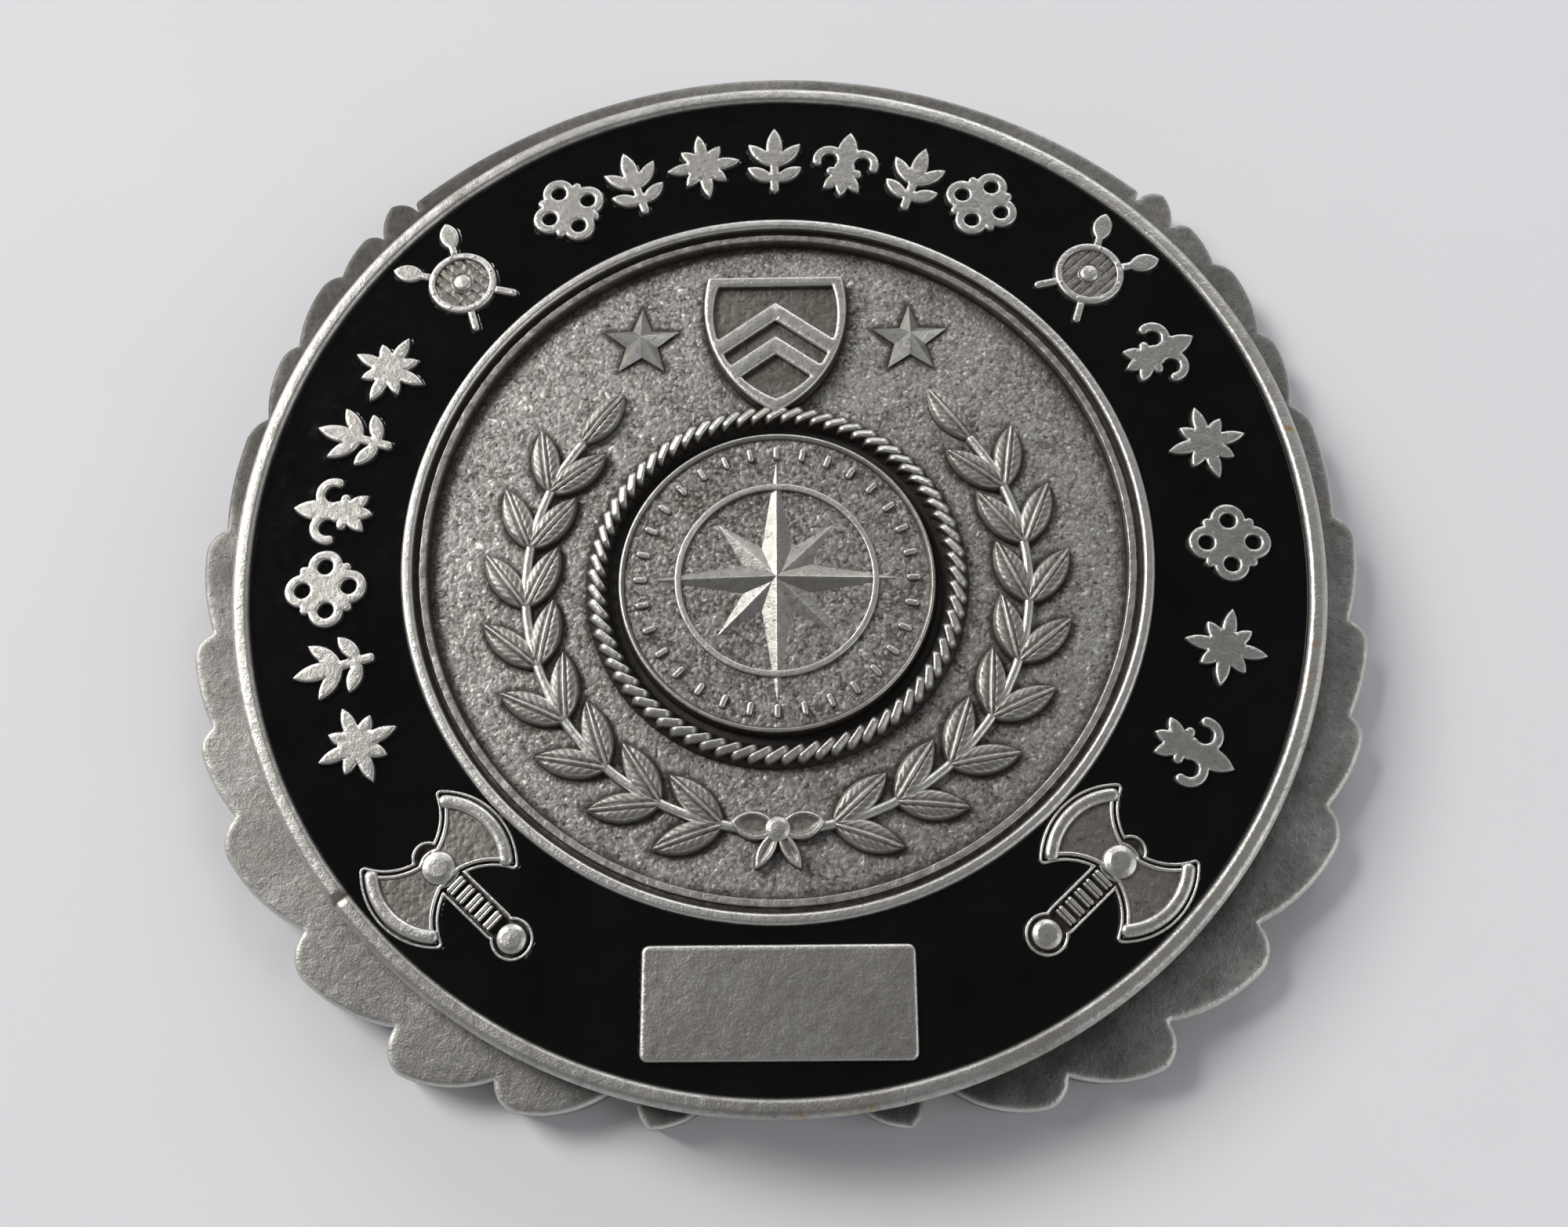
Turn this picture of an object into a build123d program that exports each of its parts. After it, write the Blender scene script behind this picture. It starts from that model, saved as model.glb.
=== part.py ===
from build123d import *
from math import cos, radians, sin
import os

# Layered challenge coin: a round struck medallion with a black enamel band is riveted
# onto a wing plate whose feathered edge stands out all round it.
# Frame: +Z out of the struck face, +Y to the top of the design, origin in the middle of
# the flat back face on the medallion's axis. Lengths are millimetres, angles degrees.
# Angles on the coin are clock angles: 0 at the top of the design, growing clockwise.

# ---- overall sizes ----
medal_dia = 50.8
plate_thk = 2.0
medal_rise = 3.0

# ---- seat of the medallion in the wing plate ----
seat_depth = 0.3
seat_gap = 0.12

# ---- medallion rim and double ring ----
rim_width = 0.85
rim_outer_round = 0.4
rim_inner_round = 0.25
foot_chamfer = 0.25
ring_radius = 17.5
ring_width = 0.5
ring_drop = 0.05
ring_round = 0.18
groove_width = 0.3
groove_drop = 0.5
inner_ring_width = 0.35
inner_ring_drop = 0.3

# ---- enamel band and sunken field ----
trough_drop = 0.9
enamel_drop = 0.3
field_drop = 0.9
figure_drop = 0.05

# ---- central emblem: rope ring, lipped disc and wind rose ----
emblem_y = -1.6
rope_radius = 8.4
rope_bed_width = 0.9
rope_bed_drop = 0.5
rope_drop = 0.1
strand_count = 72
strand_length = 1.35
strand_width = 0.36
strand_slant = 38
disc_radius = 7.35
disc_drop = 0.5
lip_width = 0.28
lip_drop = 0.25
line_width = 0.28
line_height = 0.16
compass_radius = 4.6
tick_radius = 6.35
tick_length = 0.6
tick_count = 32
rose_long = 5.9
rose_short = 3.9
rose_waist = 1.15
rose_height = 0.45
rose_turned_height = 0.36

# ---- laurel wreath round the rope ring ----
wreath_radius = 11.7
wreath_start = 184
wreath_end = 307
leaf_pairs = 8
leaf_length = 3.3
leaf_width = 1.3
leaf_splay = 31
leaf_height = 0.55
leaf_first = 0.55
stem_width = 0.45
stem_height = 0.4
bow_knot_radius = 0.6
bow_loop_length = 2.1
bow_loop_width = 1.25
bow_loop_lean = 10
bow_tail_length = 2.0
bow_tail_width = 0.7
bow_tail_splay = 30

# ---- shield and stars at the top of the field ----
shield_y = 10.5
shield_width = 6.6
shield_height = 7.4
shield_thk = 0.5
shield_border = 0.5
shield_raise = 0.3
chevron_count = 2
chevron_top = 2.3
chevron_height = 1.0
chevron_pitch = 1.85
chevron_drop = 2.4
shield_cheek = 0.86
shield_cheek_y = -0.75
shield_foot_factor = 1.5
star_x = 6.6
star_y = 11.0
star_radius = 1.9
star_waist = 0.8
star_height = 0.8

# ---- raised figures of the enamel band ----
figure_radius = 21.0
figure_height = 3.8
stroke = 0.46
top_figures = 7
top_pitch = 9.9
left_figures = 6
left_start = 243.5
left_pitch = 10.6
right_figures = 5
right_start = 62.5
right_pitch = 14.0
leaf_belly = 0.45
petal_width = 1.05
curl_radius = 0.62
curl_sweep = 225
collar_y = -0.5
collar_width = 1.8
foot_width = 0.66
foot_splay = 40
sprig_leaf_width = 0.85
sprig_side_width = 0.7
sprig_upper_length = 1.9
sprig_upper_y = -0.4
sprig_upper_splay = 45
sprig_lower_length = 1.6
sprig_lower_y = -1.25
sprig_lower_splay = 60
foil_radius = 0.82
bud_reach = 1.6
ray_width = 0.66
ray_step = 0.45

# ---- round shields over crossed spears, in the enamel band ----
buckler_angle = 47.7
buckler_radius = 1.7
buckler_border = 0.35
buckler_boss_radius = 0.55
spear_length = 5.6
spear_width = 0.38
spear_cross = 30
spearhead_length = 1.6
spearhead_width = 0.95
icon_rise = 0.08

# ---- axes of the enamel band ----
axe_angle = 135.2
axe_turn = 47.5
axe_reach = 3.2
axe_tip = 2.3
axe_socket = 0.55
axe_neck = 0.75
axe_waist_x = 1.35
axe_waist_y = 1.15
axe_margin = 0.22
edge_stroke = 0.6
edge_sweep = 76
grip_width = 0.95
grip_length = 4.1
grip_overlap = 1.2
grip_rings = 5
grip_ring_width = 0.33
grip_ring_pitch = 0.56
pommel_radius = 0.72
pommel_overlap = 0.29
boss_radius = 0.8

# ---- plaque at the bottom of the enamel band ----
plaque_width = 11.7
plaque_height = 4.8
plaque_y = -20.7
plaque_round = 0.35

# ---- wing plate outline ----
band_radius = 28.3
band_end = 42.5
band_drop = 0.5
band_slope = 0.5
wing_tip_radius = 29.0
wing_tip_lead = 0.36
feather_edges = (47.9, 54.0, 63.2, 72.1, 85.2, 96.4, 106.2, 115.5, 128.8, 141.5, 152.2, 163.6)
feather_notches = (27.85, 28.0, 27.5, 27.0, 27.2, 27.35, 27.8, 27.85, 27.5, 27.4, 26.8, 25.05)
feather_tips = (28.55, 28.45, 27.9, 27.6, 28.0, 28.25, 28.5, 28.85, 28.8, 28.8, 27.6)
feather_lead = 0.27
feather_bulge = 0.68
shoulder_bulge = 0.32
stub_start = 165.8
stub_end = 172.6
stub_tip_radius = 26.4
root_radius = 25.05
plate_bevel = 0.3

# ---- rivets ----
rivet_count = 3
rivet_ring_radius = 13.0
shank_dia = 2.0
hole_clearance = 0.05
head_dia = 3.6
head_thk = 0.65
head_sink = 0.05
head_clearance = 0.1
rivet_bite = 1.5
hole_end_gap = 0.1

# ---- engraved ring of the back face ----
back_ring_radius = 21.5
back_ring_width = 0.6
back_ring_depth = 0.2

# ---- derived levels and radii ----
medal_radius = medal_dia / 2
half_figure = figure_height / 2
rim_z = plate_thk + medal_rise
medal_z = plate_thk - seat_depth
trough_z = rim_z - trough_drop
enamel_z = rim_z - enamel_drop
figure_z = rim_z - figure_drop
field_z = rim_z - field_drop
disc_z = rim_z - disc_drop
trough_radius = medal_radius - rim_width
groove_radius = ring_radius - ring_width
inner_ring_radius = groove_radius - groove_width
field_radius = inner_ring_radius - inner_ring_width
rivet_top_z = medal_z + rivet_bite


def clock(radius, angle):
    """Point at a radius and a clock angle."""
    return (radius * sin(radians(angle)), radius * cos(radians(angle)))


def clock_place(radius, angle, turn=0.0):
    """Place whose own +Y points away from the coin's axis, turned anticlockwise by `turn`."""
    return Location((*clock(radius, angle), 0), (0, 0, turn - angle))


def raised(shape, base_z, top_z):
    """A flat shape made solid between two levels."""
    return extrude(Pos(0, 0, base_z) * shape, top_z - base_z)


def annulus(outer, inner):
    """Flat ring."""
    return Circle(outer) - Circle(inner)


def line_ring(radius, width):
    """Flat ring of a width along a circle."""
    return annulus(radius + width / 2, radius - width / 2)


def bar(x, y, length, width, turn=0.0):
    """Round-ended bar centred at a point, along +Y when `turn` is 0."""
    return Pos(x, y) * Rot(0, 0, 90 + turn) * SlotOverall(length, width)


def hook(x, y, radius, start, sweep, width):
    """Round-ended stroke along an arc."""
    return SlotArc(CenterArc((x, y), radius, start, sweep), width)


def lens(x, y, length, width, turn=0.0):
    """Pointed leaf standing on a point, along +Y when `turn` is 0, widest at its belly."""
    belly = (width / 2, length * leaf_belly)
    right = ThreePointArc((0, 0), belly, (0, length))
    return Pos(x, y) * Rot(0, 0, turn) * make_face(right + mirror(right, about=Plane.YZ))


def facet_star(points, tip_radius, waist_radius, base_z, height):
    """Star whose points are ridges that climb to a peak in the middle."""
    corners = []
    for index in range(points):
        corners.append(clock(tip_radius, 360 / points * index))
        corners.append(clock(waist_radius, 360 / points * (index + 0.5)))
    base = make_face(Polyline(*corners, close=True))
    return loft([Pos(0, 0, base_z) * base, Vertex(0, 0, base_z + height)], ruled=True)


# ---- the ornaments of the enamel band, each centred on its own origin, +Y outwards ----
def lily():
    """Lily: upright petal, two curled petals, a collar and a foot of three leaves."""
    curl_y = collar_y + curl_radius
    curl_x = curl_radius + stroke / 2
    shape = lens(0, collar_y, half_figure - collar_y, petal_width)
    shape += bar(0, collar_y, collar_width, stroke, 90)
    for side in (-1, 0, 1):
        shape += lens(0, collar_y, half_figure + collar_y, foot_width, 180 + side * foot_splay)
    for side in (-1, 1):
        shape += hook(side * curl_x, curl_y, curl_radius, 90 + side * 120, -side * curl_sweep, stroke)
    return shape


def sprig():
    """Sprig: a stem with one upright leaf and two pairs of side leaves."""
    shape = lens(0, sprig_upper_y, half_figure - sprig_upper_y, sprig_leaf_width)
    shape += bar(0, -half_figure / 2, half_figure, stroke)
    for side in (-1, 1):
        upper_turn = side * sprig_upper_splay
        lower_turn = side * sprig_lower_splay
        shape += lens(0, sprig_upper_y, sprig_upper_length, sprig_side_width, upper_turn)
        shape += lens(0, sprig_lower_y, sprig_lower_length, sprig_side_width, lower_turn)
    return shape


def quatrefoil():
    """Quatrefoil: four rings round a small disc, with a bud between each two."""
    foil = Pos(0, half_figure - foil_radius) * annulus(foil_radius, foil_radius - stroke)
    bud = bar(0, bud_reach / 2, bud_reach, stroke)
    shape = Circle(stroke)
    for index in range(4):
        shape += Rot(0, 0, 90 * index) * foil
        shape += Rot(0, 0, 90 * index + 45) * bud
    return shape


def rayed_star():
    """Eight pointed rays round a small disc, every second one short."""
    shape = Circle(stroke)
    for index in range(8):
        shape += lens(0, 0, half_figure - ray_step * (index % 2), ray_width, 45 * index)
    return shape


def buckler_icon():
    """Round shield over two crossed spears."""
    spear = bar(0, 0, spear_length, spear_width)
    spear += lens(0, (spear_length - spearhead_length) / 2, spearhead_length, spearhead_width)
    shape = Circle(buckler_radius)
    for side in (-1, 1):
        shape += Rot(0, 0, side * spear_cross) * spear
    return shape


def buckler_relief():
    """What stands highest on the round shield: its border and its boss."""
    return annulus(buckler_radius, buckler_radius - buckler_border) + Circle(buckler_boss_radius)


def axe_edge():
    """Centre distance and radius of the arc of the axe's cutting edge."""
    rise = axe_reach - axe_tip
    radius = (axe_tip**2 + rise**2) / (2 * rise)
    return axe_reach - radius, radius


def axe_pommel():
    """Round end of the axe's grip."""
    return Pos(0, -grip_length - pommel_radius + pommel_overlap) * Circle(pommel_radius)


def axe_icon():
    """Double-bitted axe, its grip pointing along -Y."""
    upper = ThreePointArc((axe_socket, axe_neck), (axe_waist_x, axe_waist_y), (axe_tip, axe_tip))
    edge = ThreePointArc((axe_tip, axe_tip), (axe_reach, 0), (axe_tip, -axe_tip))
    socket = Line((axe_socket, axe_neck), (axe_socket, -axe_neck))
    blade = make_face(upper + edge + mirror(upper, about=Plane.XZ) + socket)
    shape = blade + mirror(blade, about=Plane.YZ) + axe_pommel()
    shape += bar(0, (grip_overlap - grip_length) / 2, grip_length + grip_overlap, grip_width)
    return offset(shape, axe_margin)


def axe_relief():
    """What stands highest on the axe: edges, boss, grip rings and pommel."""
    centre_x, radius = axe_edge()
    shape = Circle(boss_radius) + axe_pommel()
    for side in (-1, 1):
        start = 90 - side * 90 - edge_sweep / 2
        shape += hook(side * centre_x, 0, radius - edge_stroke / 2, start, edge_sweep, edge_stroke)
    for index in range(grip_rings):
        ring_y = -boss_radius - grip_ring_width - grip_ring_pitch * index
        shape += bar(0, ring_y, grip_width, grip_ring_width, 90)
    return shape


top_order = (quatrefoil, sprig, rayed_star, sprig, lily, sprig)
left_order = (rayed_star, sprig, quatrefoil, lily, sprig)
right_order = (lily, rayed_star, quatrefoil, rayed_star)
band_rows = (
    (top_order, top_figures, -top_pitch * (top_figures - 1) / 2, top_pitch),
    (left_order, left_figures, left_start, left_pitch),
    (right_order, right_figures, right_start, right_pitch),
)
buckler_places = []
axe_places = []
for side in (-1, 1):
    buckler_places.append(clock_place(figure_radius, side * buckler_angle))
    axe_places.append(clock_place(figure_radius, side * axe_angle, side * (axe_angle - axe_turn)))
plaque = Pos(0, plaque_y) * RectangleRounded(plaque_width, plaque_height, plaque_round)


def ornaments():
    """The ornaments of the enamel band as one flat shape."""
    shape = Sketch() + plaque
    for order, count, start, pitch in band_rows:
        for index in range(count):
            figure = order[index % len(order)]
            shape += clock_place(figure_radius, start + pitch * index) * figure()
    return shape


# ---- wing plate ----
def feather(start_angle, start_radius, end_angle, end_radius, tip_radius, lead=feather_lead):
    """Edge of one feather: a short round shoulder up to the tip, then a long vane."""
    span = end_angle - start_angle
    rise = tip_radius - start_radius
    fall = tip_radius - end_radius
    start = clock(start_radius, start_angle)
    shoulder = clock(start_radius + feather_bulge * rise, start_angle + shoulder_bulge * lead * span)
    tip = clock(tip_radius, start_angle + lead * span)
    vane = clock(end_radius + feather_bulge * fall, start_angle + (1 + lead) / 2 * span)
    end = clock(end_radius, end_angle)
    return ThreePointArc(start, shoulder, tip) + ThreePointArc(tip, vane, end)


def arc_at(radius, start_angle, end_angle):
    """Arc about the coin's axis between two clock angles."""
    middle = (start_angle + end_angle) / 2
    return ThreePointArc(clock(radius, start_angle), clock(radius, middle), clock(radius, end_angle))


def wing_face(inset):
    """Outline of the wing plate with every radius drawn in by an inset."""
    outer = band_radius - inset
    root = root_radius - inset
    dip = outer - band_drop
    dip_angle = band_end + band_slope
    notches = [radius - inset for radius in feather_notches]
    edge = arc_at(outer, 0, band_end)
    edge += Line(clock(outer, band_end), clock(dip, dip_angle))
    wing_tip = wing_tip_radius - inset
    edge += feather(dip_angle, dip, feather_edges[0], notches[0], wing_tip, wing_tip_lead)
    for index, tip_radius in enumerate(feather_tips):
        start = (feather_edges[index], notches[index])
        end = (feather_edges[index + 1], notches[index + 1])
        edge += feather(*start, *end, tip_radius - inset)
    edge += Line(clock(notches[-1], feather_edges[-1]), clock(root, stub_start))
    edge += feather(stub_start, root, stub_end, root, stub_tip_radius - inset)
    edge += arc_at(root, stub_end, 180)
    return make_face(edge + mirror(edge, about=Plane.YZ))


rivet_places = []
for index in range(rivet_count):
    rivet_places.append(clock_place(rivet_ring_radius, 360 / rivet_count * (index + 0.5)))


def make_wing_plate():
    """Feathered back casting with the medallion's seat and the stepped rivet holes."""
    bevel_z = plate_thk - plate_bevel
    plate = extrude(wing_face(0), bevel_z)
    foot = Pos(0, 0, bevel_z) * wing_face(0)
    top = Pos(0, 0, plate_thk) * wing_face(plate_bevel)
    plate += loft([foot, top], ruled=True)
    back_ring = line_ring(back_ring_radius, back_ring_width)
    cuts = [
        raised(Circle(medal_radius + seat_gap), medal_z, plate_thk),
        raised(back_ring, 0, back_ring_depth),
    ]
    for place in rivet_places:
        cuts.append(place * raised(Circle(shank_dia / 2 + hole_clearance), 0, medal_z))
        cuts.append(place * raised(Circle(head_dia / 2 + head_clearance), 0, head_sink + head_thk))
    return plate - cuts


# ---- medallion ----
def medallion_blank():
    """Turned blank: rounded rim, enamel trough, stepped double ring and sunken field."""
    points = (
        (0, medal_z),
        (medal_radius - foot_chamfer, medal_z),
        (medal_radius, medal_z + foot_chamfer),
        (medal_radius, rim_z),
        (trough_radius, rim_z),
        (trough_radius, trough_z),
        (ring_radius, trough_z),
        (ring_radius, rim_z - ring_drop),
        (groove_radius, rim_z - ring_drop),
        (groove_radius, rim_z - groove_drop),
        (inner_ring_radius, rim_z - groove_drop),
        (inner_ring_radius, rim_z - inner_ring_drop),
        (field_radius, rim_z - inner_ring_drop),
        (field_radius, field_z),
        (0, field_z),
    )
    rounds = {3: rim_outer_round, 4: rim_inner_round, 7: ring_round, 8: ring_round}
    profile = make_face(Polyline(*points, close=True))
    for index, size in rounds.items():
        corner = profile.vertices().sort_by_distance((*points[index], 0))[0]
        profile = fillet(corner, size)
    return revolve(Plane.XZ * profile, Axis.Z)


def emblem_parts():
    """Rope ring, lipped disc, thin compass ring with ticks, and the wind rose."""
    lip = annulus(disc_radius, disc_radius - lip_width)
    parts = [
        raised(Circle(disc_radius), field_z, disc_z),
        raised(lip, field_z, rim_z - lip_drop),
        raised(line_ring(compass_radius, line_width), disc_z, disc_z + line_height),
        Rot(0, 0, 45) * facet_star(4, rose_short, rose_waist, disc_z, rose_turned_height),
        facet_star(4, rose_long, rose_waist, disc_z, rose_height),
        raised(line_ring(rope_radius, rope_bed_width), field_z, rim_z - rope_bed_drop),
    ]
    tick = raised(Rectangle(line_width, tick_length), disc_z, disc_z + line_height)
    for index in range(tick_count):
        parts.append(clock_place(tick_radius, 360 / tick_count * index) * tick)
    strand = raised(bar(0, 0, strand_length, strand_width), field_z, rim_z - rope_drop)
    for index in range(strand_count):
        parts.append(clock_place(rope_radius, 360 / strand_count * index, strand_slant - 90) * strand)
    return [Pos(0, emblem_y, 0) * part for part in parts]


def bow():
    """Bow of ribbon: a knot, two loops and two tails."""
    shape = Circle(bow_knot_radius)
    for side in (-1, 1):
        shape += lens(0, 0, bow_loop_length, bow_loop_width, side * (90 - bow_loop_lean))
        shape += lens(0, 0, bow_tail_length, bow_tail_width, 180 + side * bow_tail_splay)
    return shape


def wreath_parts():
    """Two laurel branches round the rope ring, tied with a bow at the bottom."""
    sweep = wreath_end - wreath_start
    branch = hook(0, 0, wreath_radius, 90 - wreath_end, sweep, stem_width)
    parts = [raised(branch, field_z, field_z + stem_height)]
    leaf = raised(lens(0, 0, leaf_length, leaf_width), field_z, field_z + leaf_height)
    pitch = sweep / (leaf_pairs + leaf_first)
    for index in range(leaf_pairs):
        angle = wreath_start + pitch * (index + leaf_first)
        for side in (-1, 1):
            parts.append(clock_place(wreath_radius, angle, -90 + side * leaf_splay) * leaf)
    parts.append(clock_place(wreath_radius, wreath_end, -90) * leaf)
    parts += [mirror(part, about=Plane.YZ) for part in parts]
    parts.append(raised(Pos(0, -wreath_radius) * bow(), field_z, field_z + leaf_height))
    return [Pos(0, emblem_y, 0) * part for part in parts]


def shield_outline(inset):
    """Heater shield outline drawn in by an inset, and by more at its pointed foot."""
    half_width = shield_width / 2 - inset
    top = shield_height / 2 - inset
    foot = (0, -shield_height / 2 + shield_foot_factor * inset)
    cheek = (half_width * shield_cheek, shield_cheek_y)
    side = ThreePointArc((half_width, top), cheek, foot)
    head = Line((-half_width, top), (half_width, top))
    return make_face(head + side + mirror(side, about=Plane.YZ))


def chevron():
    """Chevron with its peak on the origin, as wide as the shield."""
    reach = shield_width / 2
    outer = (reach, -chevron_drop)
    lower = (reach, -chevron_drop - chevron_height)
    arm = make_face(Polyline((0, 0), outer, lower, (0, -chevron_height), close=True))
    return arm + mirror(arm, about=Plane.YZ)


def shield_parts():
    """Shield with chevrons between two faceted stars."""
    inner = shield_outline(shield_border)
    chevrons = Sketch()
    for index in range(chevron_count):
        chevrons += Pos(0, chevron_top - chevron_pitch * index) * chevron()
    relief = (shield_outline(0) - inner) + (chevrons & inner)
    body_z = field_z + shield_thk
    parts = [
        raised(shield_outline(0), field_z, body_z),
        raised(relief, field_z, body_z + shield_raise),
    ]
    parts = [Pos(0, shield_y, 0) * part for part in parts]
    star = facet_star(5, star_radius, star_waist, field_z, star_height)
    for side in (-1, 1):
        parts.append(Pos(side * star_x, star_y, 0) * star)
    return parts


def make_medallion(flat_ornaments):
    """Front casting with everything that stands on it, bored from behind for the rivets."""
    parts = [raised(flat_ornaments, trough_z, figure_z)]
    for place in buckler_places:
        parts.append(place * raised(buckler_icon(), trough_z, enamel_z + icon_rise))
        parts.append(place * raised(buckler_relief(), trough_z, figure_z))
    for place in axe_places:
        parts.append(place * raised(axe_icon(), trough_z, enamel_z + icon_rise))
        parts.append(place * raised(axe_relief(), trough_z, figure_z))
    parts += emblem_parts() + wreath_parts() + shield_parts()
    blind_hole = raised(Circle(shank_dia / 2), medal_z, rivet_top_z + hole_end_gap)
    return medallion_blank() + parts - [place * blind_hole for place in rivet_places]


def make_enamel(flat_ornaments):
    """Enamel pool between rim and double ring, round every raised figure."""
    islands = [place * buckler_icon() for place in buckler_places]
    islands += [place * axe_icon() for place in axe_places]
    pool = annulus(trough_radius, ring_radius) - flat_ornaments - islands
    return raised(pool, trough_z, enamel_z)


def make_rivet():
    """Rivet with a flush head in the back; its shank is pressed into the medallion."""
    head = raised(Circle(head_dia / 2), head_sink, head_sink + head_thk)
    return head + raised(Circle(shank_dia / 2), head_sink, rivet_top_z)


flat_ornaments = ornaments()
rivet = make_rivet()

os.makedirs("parts", exist_ok=True)
export_step(make_wing_plate(), "parts/wing_plate.step")
export_step(make_medallion(flat_ornaments), "parts/medallion.step")
export_step(make_enamel(flat_ornaments), "parts/ring_enamel.step")
for index, place in enumerate(rivet_places):
    export_step(place * rivet, f"parts/rivet_{index + 1}.step")
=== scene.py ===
import bpy
import numpy as np
from mathutils import Matrix, Vector
from mathutils.geometry import delaunay_2d_cdt


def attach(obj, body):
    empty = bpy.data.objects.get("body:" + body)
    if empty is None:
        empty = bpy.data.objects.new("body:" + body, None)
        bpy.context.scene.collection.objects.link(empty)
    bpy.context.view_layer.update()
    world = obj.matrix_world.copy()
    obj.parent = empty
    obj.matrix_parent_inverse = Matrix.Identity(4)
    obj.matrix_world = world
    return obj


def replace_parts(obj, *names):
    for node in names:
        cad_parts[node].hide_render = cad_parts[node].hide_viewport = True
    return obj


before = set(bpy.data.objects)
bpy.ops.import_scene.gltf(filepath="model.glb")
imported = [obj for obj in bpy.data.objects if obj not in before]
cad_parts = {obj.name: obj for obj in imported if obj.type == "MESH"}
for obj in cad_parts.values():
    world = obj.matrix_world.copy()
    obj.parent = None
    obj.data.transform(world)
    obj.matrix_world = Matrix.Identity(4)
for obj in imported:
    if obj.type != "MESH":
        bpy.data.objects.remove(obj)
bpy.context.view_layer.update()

# Shapes are worked out in millimetres and turned into metres when a mesh is made.
# Angles on the coin are clock angles: 0 at the top of the design, growing clockwise.
# A shape is a function that gives the distance to its outline, negative inside it.
# Every vertex carries a value for its wear and painted light: 0 in dark recesses, 1 on edges that are worn
# bright; on the wing plate, the rim and the field it also holds painted shade and painted highlights.
MM = 0.001
SEED = 7

# ---- the part's sizes, close to those of its CAD ----
PLATE_TOP = 2.0
RIM_TOP = 5.0
TROUGH_Z = 4.1
ENAMEL_Z = 4.7
FIGURE_Z = 4.95
FIELD_Z = 4.1
DISC_Z = 4.5
MEDAL_R = 25.4
TROUGH_R = 24.55
RING_R = 17.52
RING_IN_R = 17.0
STEP_R = 16.7
FIELD_R = 16.35
EMBLEM_Y = -1.6
ROPE_R = 8.4
DISC_R = 7.35
WREATH_R = 11.7
BAND_R = 21.0
SUNK = 0.12  # how far the forms on the field reach below it


# ---- camera ----
def add_camera():
    data = bpy.data.cameras.new("camera")
    data.sensor_width = 36.0
    data.lens = 34.51
    data.clip_start = 0.005
    data.clip_end = 20.0
    camera = bpy.data.objects.new("camera", data)
    bpy.context.collection.objects.link(camera)
    right = Vector((0.99982861, -0.00639756, -0.01737277))
    up = Vector((0.0116161, 0.94747701, 0.31961286))
    turned = Matrix((right, up, right.cross(up))).transposed().to_4x4()
    camera.matrix_world = Matrix.Translation(Vector((1.323, -25.429, 70.104)) * MM) @ turned
    bpy.context.scene.camera = camera


add_camera()


# ---- numbers ----
def hashed(ix, iy, salt):
    """Repeatable value in 0..1 for each whole-number pair."""
    mixed = np.sin(ix * 127.1 + iy * 311.7 + salt * 74.7 + SEED) * 43758.5453
    return mixed - np.floor(mixed)


def value_noise(x, y, size, salt):
    """Smooth noise in -1..1 whose lumps are about `size` across."""
    gx, gy = x / size, y / size
    ix, iy = np.floor(gx), np.floor(gy)
    fx, fy = gx - ix, gy - iy
    fx, fy = fx * fx * (3 - 2 * fx), fy * fy * (3 - 2 * fy)
    low = hashed(ix, iy, salt) * (1 - fx) + hashed(ix + 1, iy, salt) * fx
    high = hashed(ix, iy + 1, salt) * (1 - fx) + hashed(ix + 1, iy + 1, salt) * fx
    return 2 * (low * (1 - fy) + high * fy) - 1


def grains(x, y, size, salt):
    """Pebbles about `size` across: height 0..1 and a value of each pebble's own."""
    gx, gy = x / size, y / size
    ix, iy = np.floor(gx), np.floor(gy)
    best = np.full(x.shape, 9.0)
    own = np.zeros(x.shape)
    for dx in (-1, 0, 1):
        for dy in (-1, 0, 1):
            cx, cy = ix + dx, iy + dy
            px = cx + 0.1 + 0.8 * hashed(cx, cy, salt)
            py = cy + 0.1 + 0.8 * hashed(cx, cy, salt + 1)
            reach = 0.65 + 0.7 * hashed(cx, cy, salt + 2)
            apart = np.hypot(gx - px, gy - py) / reach
            nearer = apart < best
            best = np.where(nearer, apart, best)
            own = np.where(nearer, hashed(cx, cy, salt + 3), own)
    return np.clip(1 - best**2, 0, 1), own


def share_of(value, start, span):
    """0 up to `start`, then rising to 1 over `span`."""
    return np.clip((value - start) / span, 0, 1)


def hump(value, width):
    """1 at zero, falling off over `width` to both sides."""
    return np.exp(-((value / width) ** 2))


# ---- flat shapes as distances ----
def clock(radius, angle):
    return radius * np.sin(np.radians(angle)), radius * np.cos(np.radians(angle))


def turned_into(px, py, x, y, turn):
    """Points seen from a place at (x, y) turned anticlockwise by `turn` degrees."""
    c, s = np.cos(np.radians(turn)), np.sin(np.radians(turn))
    return c * (px - x) + s * (py - y), -s * (px - x) + c * (py - y)


def flat_shape(measure):
    """Turns measure(px, py, *sizes) into a function of the sizes that gives a shape."""
    return lambda *sizes: lambda px, py: measure(px, py, *sizes)


@flat_shape
def placed(px, py, shape, x, y, turn=0.0):
    return shape(*turned_into(px, py, x, y, turn))


def clock_place(shape, angle, turn=0.0):
    """The shape in the enamel band, its own +Y away from the axis, turned by `turn`."""
    return placed(shape, *clock(BAND_R, angle), turn - angle)


@flat_shape
def union(px, py, *shapes):
    return np.minimum.reduce([shape(px, py) for shape in shapes])


@flat_shape
def within(px, py, shape, limit):
    return np.maximum(shape(px, py), limit(px, py))


@flat_shape
def without(px, py, shape, hole):
    return np.maximum(shape(px, py), -hole(px, py))


@flat_shape
def grown(px, py, shape, amount):
    return shape(px, py) - amount


@flat_shape
def disc(px, py, radius, x=0.0, y=0.0):
    return np.hypot(px - x, py - y) - radius


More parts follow.
